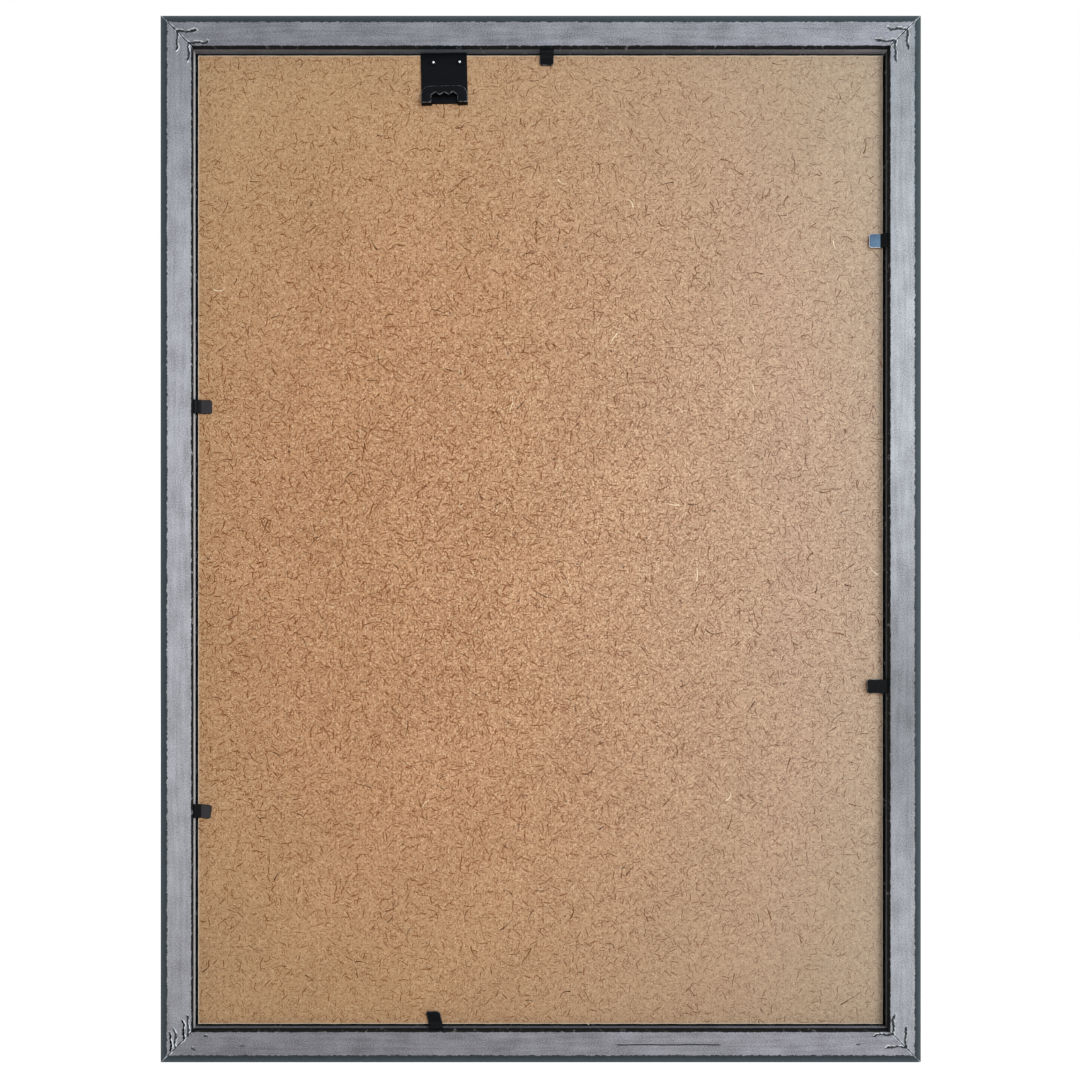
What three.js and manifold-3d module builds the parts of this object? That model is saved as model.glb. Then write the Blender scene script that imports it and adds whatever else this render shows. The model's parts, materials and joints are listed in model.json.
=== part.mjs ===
// Picture frame: a mitred moulding that holds glass, an insert sheet and a hardboard back.
// Bent steel tabs keep the sheets in, and a sawtooth hanger on the board hangs on a wall nail.
// Millimetres, +Z up. The picture faces -Y and the back faces +Y; left and right are as seen
// from the front. The origin is the middle notch of the hanger, where the nail carries the frame.

import * as THREE from 'three';
import { mergeVertices } from 'three/addons/utils/BufferGeometryUtils.js';
import Module from 'manifold-3d';

// Sheets in the rebate, cut to one standard size
const sheetWidth = 297;
const sheetHeight = 420;
const glassThickness = 2;
const insertThickness = 0.3;
const boardThickness = 2.5;

// Section of the moulding
const railBackWidth = 13.7;
const lipReach = 5;
const lipThickness = 4.4;
const boardRecess = 4.5;
const backRoundWidth = 3.2;
const backRoundDepth = 1.5;
const frontRadius = 3;
const sightRadius = 2;

// Corner nails: a strip bent to a right angle, pressed in across the mitre from behind
const nailLeg = 8.4;
const nailThickness = 0.8;
const nailHeight = 9;
const nailSunk = 0.4;
const nailFlare = 0.6;
const nailFlareLength = 1.6;

// Retaining tabs: strips of one stock length, driven into the rebate wall and bent over the board
const tabWidth = 6;
const tabThickness = 0.5;
const tabLength = 15.4;
const tabRootHeight = 2.2;
const tabSlopeEnd = 3;
const tabTipRadius = 0.9;
const tabPointLength = 2;

// Hanger: pressed sheet hooked over the top of the board, heights measured down from that edge
const hangerWidth = 20;
const hangerSheet = 0.5;
const hangerBend = 0.25;
const hangerOffset = 41.9;
const hangerTilt = THREE.MathUtils.degToRad(1.2);
const bridgeDrop = 15.1;
const bridgeBand = 2.7;
const bridgeRise = 2.2;
const bridgeShoulder = 3.9;
const bridgeLegWidth = 4.4;
const bridgeLegReach = 3.1;
const tongueReach = 2.5;
const toothDepth = 1.3;
const notchCount = 3;

// Rivets of the hanger, and the spare hole beside one of them
const rivetDrop = 3.9;
const rivetRadius = 0.8;
const rivetHeadRadius = 1.3;
const rivetHeadHeight = 0.6;
const rivetFromEdge = { right: 5.5, left: 3.2 };
const spareHoleFromEdge = 3.3;
const spareHoleRadius = 0.45;

// Clearances
const sheetSideGap = 1.2;
const stackGap = 0.1;
const mitreGap = 0.1;
const slotGap = 0.12;
const seatGap = 0.1;
const lipWallGap = 0.18;
const tabRootGap = 0.25;
const tabSwingGap = 0.35;

// Fineness of round stretches
const arcSteps = 6;
const bendSteps = 4;
const hookSteps = 2;
const roundSides = 16;
const weldDistance = 1e-4;
const cutMargin = 1;

// Sizes that follow from those above
const tiltRise = hangerWidth * Math.sin(hangerTilt);
const sheetEndGap = seatGap + tiltRise + hangerSheet + lipWallGap;
const rebateDepth = boardRecess + boardThickness + insertThickness + glassThickness + 3 * stackGap;
const railDepth = rebateDepth + lipThickness;
const railFaceWidth = railBackWidth + lipReach;
const frameWidth = sheetWidth + 2 * (sheetSideGap + railBackWidth);
const frameHeight = sheetHeight + 2 * (sheetEndGap + railBackWidth);
const tabPivot = tabThickness / 2 + tabSwingGap;
const tabLevel = tabRootHeight - boardRecess;
const hangerHalf = hangerWidth / 2;
const openingHalf = hangerHalf - bridgeLegWidth;
const rivetPlaces = { right: hangerHalf - rivetFromEdge.right, left: rivetFromEdge.left - hangerHalf };
const spareHolePlace = hangerHalf - spareHoleFromEdge;
const notchLine = -(bridgeDrop + bridgeBand);
const toothLine = notchLine - toothDepth;
const legEnd = toothLine - bridgeLegReach;
const tongueEnd = toothLine - tongueReach;

// Each side of the frame is a group whose own +X runs along the rail and whose -Z runs inwards.
// forward says whether that +X agrees with right or up on the whole frame.
const quarter = Math.PI / 2;
const sides = {
  top: { turn: 0, x: 0, z: frameHeight / 2, length: frameWidth, forward: 1 },
  right: { turn: quarter, x: frameWidth / 2, z: 0, length: frameHeight, forward: -1 },
  bottom: { turn: 2 * quarter, x: 0, z: -frameHeight / 2, length: frameWidth, forward: -1 },
  left: { turn: -quarter, x: -frameWidth / 2, z: 0, length: frameHeight, forward: 1 },
};

// Corner nails stand two to a mitre: the outer one is placed from the outside of the frame,
// the inner one from the rebate wall, and both vary a little as hand pressed nails do.
const corners = {
  top_right: { turn: 0, x: frameWidth / 2, z: frameHeight / 2, fromOutside: 7.5, fromWall: 1.3 },
  bottom_right: { turn: quarter, x: frameWidth / 2, z: -frameHeight / 2, fromOutside: 6.7, fromWall: 1.5 },
  bottom_left: { turn: 2 * quarter, x: -frameWidth / 2, z: -frameHeight / 2, fromOutside: 7.2, fromWall: 1.2 },
  top_left: { turn: -quarter, x: -frameWidth / 2, z: frameHeight / 2, fromOutside: 6.5, fromWall: 2.1 },
};

// Tabs: share is the place along the sheet's edge, from its middle to the right or upwards. reach is
// how far the strip stands out of the wall, lift the height of its tip over the board, lean the slant
// of the strip and tipTilt the slant of its end.
const tabs = {
  top: { side: 'top', share: -0.009, reach: 6.1, lift: 0.4, lean: 0, tipTilt: 0 },
  right_upper: { side: 'right', share: 0.1366, reach: 7.6, lift: 0.4, lean: 0, tipTilt: 0 },
  right_lower: { side: 'right', share: -0.2787, reach: 7.2, lift: 0.4, lean: 7, tipTilt: -7 },
  bottom: { side: 'bottom', share: 0.151, reach: 7.2, lift: 0.6, lean: -14, tipTilt: 0 },
  left_lower: { side: 'left', share: -0.1509, reach: 8.9, lift: 1.5, lean: 0, tipTilt: 0 },
  left_upper: { side: 'left', share: 0.3071, reach: 7.8, lift: 0.9, lean: 0, tipTilt: 0 },
};

const finishes = {
  moulding: new THREE.MeshStandardMaterial({ color: '#26282b', roughness: 0.5, metalness: 0 }),
  nail: new THREE.MeshStandardMaterial({ color: '#6d6e70', roughness: 0.4, metalness: 1 }),
  glass: new THREE.MeshStandardMaterial({
    color: '#eef4f2', roughness: 0.05, metalness: 0, transparent: true, opacity: 0.3,
  }),
  paper: new THREE.MeshStandardMaterial({ color: '#efece4', roughness: 0.9, metalness: 0 }),
  hardboard: new THREE.MeshStandardMaterial({ color: '#b8936a', roughness: 0.8, metalness: 0 }),
  blackSteel: new THREE.MeshStandardMaterial({ color: '#2b2c2f', roughness: 0.45, metalness: 0.6 }),
  rivet: new THREE.MeshStandardMaterial({ color: '#d9dadb', roughness: 0.25, metalness: 1 }),
};

// Joining and cutting of closed shapes

const wasm = await Module();
wasm.setup();

function toSolid(geometry) {
  const bare = geometry.clone();
  bare.deleteAttribute('normal');
  bare.deleteAttribute('uv');
  const welded = mergeVertices(bare, weldDistance);
  return new wasm.Manifold(new wasm.Mesh({
    numProp: 3,
    vertProperties: new Float32Array(welded.attributes.position.array),
    triVerts: new Uint32Array(welded.index.array),
  }));
}

function toGeometry(solid) {
  const mesh = solid.getMesh();
  const geometry = new THREE.BufferGeometry();
  geometry.setAttribute('position', new THREE.BufferAttribute(mesh.vertProperties, 3));
  geometry.setIndex(new THREE.BufferAttribute(mesh.triVerts, 1));
  const faceted = geometry.toNonIndexed();
  faceted.computeVertexNormals();
  return faceted;
}

function cut(geometry, tools) {
  const solid = tools.reduce((rest, tool) => rest.subtract(toSolid(tool)), toSolid(geometry));
  return toGeometry(solid);
}

// Flat shapes given in X and Z, as thick as the stretch of Y from low to high
function slab(shape, low, high) {
  const geometry = new THREE.ExtrudeGeometry(shape, {
    depth: high - low, bevelEnabled: false, curveSegments: arcSteps,
  });
  return geometry.rotateX(quarter).translate(0, high, 0);
}

// Side profiles given inwards (-Z) and outwards (+Y), spread evenly about X = 0
function spread(shape, width) {
  const geometry = new THREE.ExtrudeGeometry(shape, {
    depth: width, bevelEnabled: false, curveSegments: arcSteps,
  });
  return geometry.rotateY(quarter).translate(-width / 2, 0, 0);
}

// Outline of a bent strip of even thickness that follows a path
function stripShape(path, thickness, steps = bendSteps) {
  const points = path.getPoints(steps)
    .filter((point, i, all) => i === 0 || point.distanceTo(all[i - 1]) > weldDistance);
  const normals = points.slice(1).map((point, i) => {
    const along = point.clone().sub(points[i]).normalize();
    return new THREE.Vector2(-along.y, along.x);
  });
  const offsets = points.map((point, i) => {
    const before = normals[Math.max(i - 1, 0)];
    const after = normals[Math.min(i, normals.length - 1)];
    const reach = thickness / 2 / (1 + before.dot(after));
    return before.clone().add(after).multiplyScalar(reach);
  });
  const near = points.map((point, i) => point.clone().add(offsets[i]));
  const far = points.map((point, i) => point.clone().sub(offsets[i]));
  return new THREE.Shape([...near, ...far.reverse()]);
}

// A group turned about Y and moved in the plane of the frame
function placedGroup({ turn, x, z, y = 0 }) {
  const group = new THREE.Group();
  group.position.set(x, y, z);
  group.rotation.y = turn;
  group.updateMatrix();
  return group;
}

function addPiece(parent, name, geometry, material) {
  const mesh = new THREE.Mesh(geometry, material);
  mesh.name = name;
  parent.add(mesh);
  return mesh;
}

// Moulding: the section runs inwards (u) and from back to front (v), and its ends are mitred

function railSection() {
  const section = new THREE.Shape();
  section.moveTo(backRoundWidth, 0);
  section.lineTo(railBackWidth, 0);
  section.lineTo(railBackWidth, rebateDepth);
  section.lineTo(railFaceWidth, rebateDepth);
  section.lineTo(railFaceWidth, railDepth - sightRadius);
  section.absarc(railFaceWidth - sightRadius, railDepth - sightRadius, sightRadius, 0, quarter);
  section.lineTo(frontRadius, railDepth);
  section.absarc(frontRadius, railDepth - frontRadius, frontRadius, quarter, 2 * quarter);
  section.lineTo(0, backRoundDepth);
  section.absellipse(
    backRoundWidth, backRoundDepth, backRoundWidth, backRoundDepth, 2 * quarter, 3 * quarter,
  );
  return section;
}

function railGeometry(length) {
  const geometry = new THREE.ExtrudeGeometry(railSection(), {
    depth: 1, bevelEnabled: false, curveSegments: arcSteps,
  });
  const setback = mitreGap / Math.SQRT2;
  const places = geometry.attributes.position;
  for (let i = 0; i < places.count; i += 1) {
    const u = places.getX(i);
    const v = places.getY(i);
    const end = 1 - 2 * places.getZ(i);
    places.setXYZ(i, end * (length / 2 - u - setback), -v, -u);
  }
  return geometry;
}

// Corner nail: legs run along both rails from a bend on the mitre, with ends that flare outwards

function nailGeometry(setback, allowance) {
  const straight = nailLeg - nailFlareLength;
  const path = new THREE.Path();
  path.moveTo(-nailLeg - allowance, nailFlare);
  path.lineTo(-straight, 0);
  path.lineTo(0, 0);
  path.lineTo(0, -straight);
  path.lineTo(nailFlare, -nailLeg - allowance);
  const shape = stripShape(path, nailThickness + 2 * allowance);
  const top = allowance > 0 ? cutMargin : -nailSunk;
  return slab(shape, -nailSunk - nailHeight - allowance, top).translate(-setback, 0, -setback);
}

// Tab: X runs along the rail, the rebate wall is at Z = 0 and the board lies towards -Z

function leanMatrix(lean) {
  return new THREE.Matrix4().makeShear(0, 0, 0, 0, -Math.tan(THREE.MathUtils.degToRad(lean)), 0);
}

function tabShankGeometry({ reach, lean }) {
  const half = tabWidth / 2;
  const driven = tabLength - reach;
  const shape = new THREE.Shape();
  shape.moveTo(-half, 0);
  shape.lineTo(half, 0);
  shape.lineTo(half, driven - tabPointLength);
  shape.lineTo(0, driven);
  shape.lineTo(-half, driven - tabPointLength);
  return slab(shape, -tabThickness / 2, tabThickness / 2).applyMatrix4(leanMatrix(lean));
}

function tabSlotGeometry({ reach, lean }) {
  const half = tabWidth / 2 + slotGap;
  const slotEnd = tabLength - reach + slotGap;
  const shape = new THREE.Shape();
  shape.moveTo(-half, -cutMargin);
  shape.lineTo(half, -cutMargin);
  shape.lineTo(half, slotEnd);
  shape.lineTo(-half, slotEnd);
  const height = tabThickness / 2 + slotGap;
  return slab(shape, -height, height).applyMatrix4(leanMatrix(lean));
}

function tabFlapGeometry({ reach, lift, lean, tipTilt }) {
  const drop = tabRootHeight - lift - tabThickness / 2;
  const slope = tabSlopeEnd - tabPivot;
  const bend = new THREE.Path();
  bend.moveTo(tabRootGap, 0);
  bend.lineTo(tabPivot, 0);
  bend.bezierCurveTo(
    tabPivot + slope / 2, 0, tabSlopeEnd - slope / 2, -drop, tabSlopeEnd, -drop,
  );
  bend.lineTo(reach + tabWidth, -drop);
  const side = spread(stripShape(bend, tabThickness), 2 * tabWidth);

  const half = tabWidth / 2;
  const tilt = half * Math.tan(THREE.MathUtils.degToRad(tipTilt));
  const plan = new THREE.Shape();
  plan.moveTo(-half, cutMargin);
  plan.lineTo(-half, tilt - reach + tabTipRadius);
  plan.quadraticCurveTo(-half, tilt - reach, tabTipRadius - half, tilt - reach);
  plan.lineTo(half - tabTipRadius, -tilt - reach);
  plan.quadraticCurveTo(half, -tilt - reach, half, tabTipRadius - tilt - reach);
  plan.lineTo(half, cutMargin);
  const outline = slab(plan, -2 * tabRootHeight, 2 * tabRootHeight);
  return toGeometry(toSolid(side).intersect(toSolid(outline))).applyMatrix4(leanMatrix(lean));
}

// Hanger: X runs along the board's top edge, which is at Z = 0, and the board's back is at Y = 0.
// The bridge is pressed out of the sheet as a hoop of channel with closed feet, and the cut along
// its saw edge leaves a tongue of flat sheet between its legs.

function sawEdge() {
  const steps = 2 * notchCount;
  return Array.from({ length: steps + 1 }, (_, i) => new THREE.Vector2(
    openingHalf * (1 - 2 * i / steps), i % 2 ? notchLine : toothLine,
  ));
}

// Outside of the bridge from its right foot over the shoulders to its left foot
function bridgeArch(inset, foot) {
  const half = hangerHalf - inset;
  const radius = bridgeShoulder - inset;
  const shape = new THREE.Shape();
  shape.moveTo(half, foot);
  shape.lineTo(half, -bridgeDrop - bridgeShoulder);
  shape.absarc(half - radius, -bridgeDrop - bridgeShoulder, radius, 0, quarter);
  shape.lineTo(radius - half, -bridgeDrop - inset);
  shape.absarc(radius - half, -bridgeDrop - bridgeShoulder, radius, quarter, 2 * quarter);
  shape.lineTo(-half, foot);
  return shape;
}

function hangerGeometry() {
  const bend = new THREE.Path();
  bend.moveTo(-hangerSheet / 2, -boardThickness);
  bend.lineTo(-hangerSheet / 2, -hangerBend);
  bend.absarc(hangerBend, -hangerBend, hangerBend + hangerSheet / 2, 2 * quarter, quarter, true);
  bend.lineTo(bridgeDrop + bridgeShoulder, hangerSheet / 2);
  const plate = toSolid(spread(stripShape(bend, hangerSheet, hookSteps), hangerWidth));
  const underBridge = slab(bridgeArch(hangerSheet / 2, legEnd), -hangerSheet, 2 * hangerSheet);

  const hoop = bridgeArch(0, legEnd);
  hoop.lineTo(-openingHalf, legEnd);
  sawEdge().reverse().forEach((point) => hoop.lineTo(point.x, point.y));
  hoop.lineTo(openingHalf, legEnd);

  const channelFoot = legEnd + hangerSheet;
  const innerWall = openingHalf + hangerSheet;
  const channel = bridgeArch(hangerSheet, channelFoot);
  channel.lineTo(-innerWall, channelFoot);
  channel.lineTo(-innerWall, toothLine);
  channel.lineTo(innerWall, toothLine);
  channel.lineTo(innerWall, channelFoot);
  const bridge = toSolid(slab(hoop, 0, bridgeRise + hangerSheet))
    .subtract(toSolid(slab(channel, -cutMargin, bridgeRise)));

  const tongueHalf = openingHalf + hangerSheet / 2;
  const tongue = new THREE.Shape();
  tongue.moveTo(-tongueHalf, tongueEnd);
  tongue.lineTo(tongueHalf, tongueEnd);
  tongue.lineTo(tongueHalf, toothLine);
  sawEdge().forEach((point) => tongue.lineTo(point.x, point.y));
  tongue.lineTo(-tongueHalf, toothLine);

  const body = plate
    .subtract(toSolid(underBridge))
    .add(bridge)
    .add(toSolid(slab(tongue, 0, hangerSheet)));
  const holes = Object.values(rivetPlaces).map((x) => rivetHole(x));
  const spareHole = pinHole(spareHolePlace, spareHoleRadius);
  return cut(toGeometry(body), [...holes, spareHole]);
}

function pinHole(x, radius) {
  const length = 2 * boardThickness + 2 * cutMargin;
  return new THREE.CylinderGeometry(radius, radius, length, roundSides).translate(x, 0, -rivetDrop);
}

function rivetHole(x) {
  return pinHole(x, rivetRadius + slotGap);
}

// Rivet: a plain shank as deep as the board, under a low domed head
function rivetGeometry() {
  const seat = hangerSheet + seatGap;
  const profile = new THREE.Path();
  profile.moveTo(0, -seatGap - boardThickness);
  profile.lineTo(rivetRadius, -seatGap - boardThickness);
  profile.lineTo(rivetRadius, seat);
  profile.lineTo(rivetHeadRadius, seat);
  profile.quadraticCurveTo(rivetHeadRadius, seat + rivetHeadHeight, 0, seat + rivetHeadHeight);
  return new THREE.LatheGeometry(profile.getPoints(bendSteps), roundSides);
}

// Assembly, first about the middle of the frame's back plane

const frame = new THREE.Group();

const nails = Object.entries(corners).flatMap(([corner, place]) => [
  { name: `corner_nail_${corner}_outer`, place, setback: place.fromOutside },
  { name: `corner_nail_${corner}_inner`, place, setback: railBackWidth - place.fromWall },
]);
const nailSlots = nails.map(({ place, setback }) => {
  const group = placedGroup(place);
  return nailGeometry(setback, slotGap).applyMatrix4(group.matrix);
});

for (const [name, side] of Object.entries(sides)) {
  const group = placedGroup(side);
  frame.add(group);
  const toGroup = group.matrix.clone().invert();
  const slots = nailSlots.map((slot) => slot.clone().applyMatrix4(toGroup));

  for (const [tabName, tab] of Object.entries(tabs)) {
    if (tab.side !== name) continue;
    const sheetEdge = side.length === frameWidth ? sheetWidth : sheetHeight;
    const tabGroup = placedGroup({
      turn: 0, x: side.forward * tab.share * sheetEdge, y: tabLevel, z: -railBackWidth,
    });
    group.add(tabGroup);
    slots.push(tabSlotGeometry(tab).applyMatrix4(tabGroup.matrix));
    addPiece(tabGroup, `tab_${tabName}_shank`, tabShankGeometry(tab), finishes.blackSteel);
    addPiece(tabGroup, `tab_${tabName}_flap`, tabFlapGeometry(tab), finishes.blackSteel);
  }
  addPiece(group, `${name}_rail`, cut(railGeometry(side.length), slots), finishes.moulding);
}

for (const { name, place, setback } of nails) {
  const group = placedGroup(place);
  frame.add(group);
  addPiece(group, name, nailGeometry(setback, 0), finishes.nail);
}

const hangerGroup = placedGroup({
  turn: hangerTilt,
  x: hangerOffset,
  y: seatGap - boardRecess,
  z: sheetHeight / 2 + seatGap + tiltRise / 2,
});
frame.add(hangerGroup);
addPiece(hangerGroup, 'hanger', hangerGeometry(), finishes.blackSteel);
for (const [name, x] of Object.entries(rivetPlaces)) {
  const rivet = addPiece(hangerGroup, `hanger_rivet_${name}`, rivetGeometry(), finishes.rivet);
  rivet.position.set(x, 0, -rivetDrop);
}

function sheetGeometry(thickness, back) {
  return new THREE.BoxGeometry(sheetWidth, thickness, sheetHeight)
    .translate(0, back - thickness / 2, 0);
}

const boardHoles = Object.values(rivetPlaces).map((x) => rivetHole(x).applyMatrix4(hangerGroup.matrix));
const boardGeometry = cut(sheetGeometry(boardThickness, -boardRecess), boardHoles);
const insertBack = -boardRecess - boardThickness - stackGap;
const glassBack = insertBack - insertThickness - stackGap;
addPiece(frame, 'back_board', boardGeometry, finishes.hardboard);
addPiece(frame, 'insert_sheet', sheetGeometry(insertThickness, insertBack), finishes.paper);
addPiece(frame, 'glass', sheetGeometry(glassThickness, glassBack), finishes.glass);

// The frame is moved so that the hanger's middle notch lies at the origin
const notch = new THREE.Vector3(0, bridgeRise + hangerSheet / 2, notchLine);
frame.position.copy(notch.applyMatrix4(hangerGroup.matrix)).negate();

const pictureFrame = new THREE.Group();
pictureFrame.add(frame);

export default pictureFrame;
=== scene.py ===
import json
import math
from functools import partial

import bmesh
import bpy
import numpy as np
from mathutils import Matrix, Vector


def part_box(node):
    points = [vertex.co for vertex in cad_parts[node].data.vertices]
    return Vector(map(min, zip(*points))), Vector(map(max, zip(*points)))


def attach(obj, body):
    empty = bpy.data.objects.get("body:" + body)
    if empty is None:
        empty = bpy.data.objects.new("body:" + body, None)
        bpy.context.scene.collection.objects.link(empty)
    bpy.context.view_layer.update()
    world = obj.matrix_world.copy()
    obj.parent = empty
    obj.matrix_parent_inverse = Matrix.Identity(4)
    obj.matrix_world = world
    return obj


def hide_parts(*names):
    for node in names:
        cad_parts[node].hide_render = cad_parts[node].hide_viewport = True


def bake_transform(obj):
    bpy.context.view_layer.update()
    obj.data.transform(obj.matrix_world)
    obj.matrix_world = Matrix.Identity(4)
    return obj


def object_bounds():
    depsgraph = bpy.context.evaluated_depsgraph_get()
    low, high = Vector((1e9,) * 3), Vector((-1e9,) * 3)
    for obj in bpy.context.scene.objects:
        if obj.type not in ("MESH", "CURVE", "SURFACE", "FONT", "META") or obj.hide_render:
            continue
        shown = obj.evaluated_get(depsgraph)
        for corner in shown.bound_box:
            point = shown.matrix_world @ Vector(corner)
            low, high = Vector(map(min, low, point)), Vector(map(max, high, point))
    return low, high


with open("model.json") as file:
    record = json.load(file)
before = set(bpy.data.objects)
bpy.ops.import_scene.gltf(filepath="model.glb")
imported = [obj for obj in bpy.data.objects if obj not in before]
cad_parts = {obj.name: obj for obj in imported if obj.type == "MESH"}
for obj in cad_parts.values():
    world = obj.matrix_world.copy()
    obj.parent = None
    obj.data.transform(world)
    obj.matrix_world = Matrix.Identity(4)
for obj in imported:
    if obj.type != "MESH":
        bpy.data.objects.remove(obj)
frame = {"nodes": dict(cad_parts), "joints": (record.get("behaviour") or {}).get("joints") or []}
cad_low, cad_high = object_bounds()

# Camera: it looks squarely at the back of the frame from about an arm's length. It stands a little
# below the middle and to one side, as the uneven rebate walls show, and the lens shift centres the view.
MM = 0.001
IMAGE_WIDTH = 1080
FOCAL_PIXELS = 896.5
SENSOR_WIDTH = 36
CAMERA_DISTANCE = 384 * MM
CAMERA_ASIDE = 12 * MM
CAMERA_BELOW = 32 * MM
VIEW_ASIDE = 0.35 * MM
VIEW_DROP = 0.5 * MM

middle = (cad_low + cad_high) / 2
back_plane = cad_high.y
shift_per_metre = FOCAL_PIXELS / CAMERA_DISTANCE / IMAGE_WIDTH
camera_data = bpy.data.cameras.new("camera")
camera_data.sensor_width = SENSOR_WIDTH
camera_data.lens = SENSOR_WIDTH * FOCAL_PIXELS / IMAGE_WIDTH
camera_data.shift_x = (CAMERA_ASIDE - VIEW_ASIDE) * shift_per_metre
camera_data.shift_y = (CAMERA_BELOW - VIEW_DROP) * shift_per_metre
camera = bpy.data.objects.new("camera", camera_data)
camera.location = (middle.x + CAMERA_ASIDE, back_plane + CAMERA_DISTANCE, middle.z - CAMERA_BELOW)
camera.rotation_euler = (math.radians(90), 0, math.radians(180))
bpy.context.scene.collection.objects.link(camera)
bpy.context.scene.camera = camera


# Moulding: four lengths of extruded grey polystyrene foam, sprayed black and then planed flat behind,
# so that bare core shows between a ragged line of paint outside and the rebate wall. Mitred ends meet
# at each corner, where two bent nails were pressed in from behind and threw up burrs beside their slits.
RAIL_BACK_WIDTH = 13.7
RAIL_FACE_WIDTH = 18.7
RAIL_DEPTH = 14.0
REBATE_DEPTH = 9.6
BACK_ROUND_WIDTH = 3.2
BACK_ROUND_DEPTH = 1.5
FRONT_RADIUS = 3.0
SIGHT_RADIUS = 2.0
ARRIS_RADIUS = 0.25
MITRE_SETBACK = 0.07
COLUMN_STEP = 0.2
ROW_STEP = 0.16
COARSE_STEP = 1.6
FINE_REACH = 24.0
NAIL_LEG = 8.4
NAIL_HALF = 0.4
NAIL_FLARE = 0.6
NAIL_FLARE_LENGTH = 1.6
STRUCK_TWICE = ("bottom", "right")
SECOND_STROKE = np.array([1.9, -1.9])
SMEARED_FROM = 1.3
SMEARED_SOFT = 0.4
SLIT_HALF = 0.5
SLIT_DEPTH = 1.4
SLIT_SLOPE = 0.2
PIT_FROM_END = 1.1
PIT_LENGTH = 0.8
PIT_SHARE = 0.15
BURR_HEIGHT = 0.6
BURR_WIDTH = 0.24
BURR_SIDE = np.array([-0.8, 0.6])
BURR_FAR_SHARE = 0.3
MITRE_BURR = 0.42
MITRE_BURR_PLACE = 0.5
MITRE_BURR_WIDTH = 0.3
MITRE_GROOVE = 0.5
MITRE_GROOVE_WIDTH = 0.25
KNOCK_DEPTH = 0.45
KNOCK_HALF = 0.28


def linear(hex_colour):
    """sRGB hex to linear RGBA."""
    channels = [int(hex_colour[i:i + 2], 16) / 255 for i in (1, 3, 5)]
    return [c / 12.92 if c <= 0.04045 else ((c + 0.055) / 1.055) ** 2.4 for c in channels] + [1]


def add_node(tree, family, kind, sockets=None, **settings):
    """Adds a node with its settings. Its named or numbered inputs take a value, or a link from a socket
    or from the first live output of another node."""
    node = tree.nodes.new(family + kind)
    for name, value in settings.items():
        setattr(node, name, value)
    for name, value in (sockets or {}).items():
        if isinstance(value, bpy.types.Node):
            value = next(output for output in value.outputs if output.enabled)
        if isinstance(value, bpy.types.NodeSocket):
            tree.links.new(value, node.inputs[name])
        else:
            node.inputs[name].default_value = value
    return node


def new_material(name):
    """A material with nothing in its node tree, and what adds a shader node to that tree."""
    material = bpy.data.materials.new(name)
    material.use_nodes = True
    material.node_tree.nodes.clear()
    return material, partial(add_node, material.node_tree, "ShaderNode")


def new_piece(name, mesh, *materials):
    """An object of the scene with its materials."""
    for material in materials:
        mesh.materials.append(material)
    piece = bpy.data.objects.new(name, mesh)
    bpy.context.scene.collection.objects.link(piece)
    return piece


def smooth(mesh, angle):
    """Smooth shading, except over edges sharper than the angle in degrees."""
    mesh.shade_smooth()
    mesh.set_sharp_from_angle(angle=math.radians(angle))


def ring_mesh(name, rings):
    """A closed mesh through rings of points, capped at both ends, with its faces outwards."""
    rows, columns, _ = rings.shape
    index = np.arange(rows * columns).reshape(rows, columns)
    following = np.roll(index, -1, axis=1)
    quads = np.stack([index[:-1], following[:-1], following[1:], index[1:]], axis=2).reshape(-1, 4)
    mesh = bpy.data.meshes.new(name)
    caps = [index[0, ::-1].tolist(), index[-1].tolist()]
    mesh.from_pydata(rings.reshape(-1, 3).tolist(), [], quads.tolist() + caps)
    body = bmesh.new()
    body.from_mesh(mesh)
    bmesh.ops.recalc_face_normals(body, faces=body.faces)
    body.to_mesh(mesh)
    body.free()
    return mesh


def arc(centre, radii, start, end, steps):
    """Points of an elliptic arc without its first one, angles in degrees."""
    angles = np.radians(np.linspace(start, end, steps + 1)[1:])
    return [(centre[0] + radii[0] * math.cos(a), centre[1] + radii[1] * math.sin(a)) for a in angles]


def run(start, end, steps):
    """Points along a straight line without its first one."""
    return [tuple(p) for p in np.linspace(start, end, steps + 1)[1:]]


def waves(place, shift, parts):
    """Sum of sines along a place in mm. Each part is a height, a rate and how far the shift moves it."""
    return sum(height * np.sin(rate * place + phase * shift) for height, rate, phase in parts)


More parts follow.
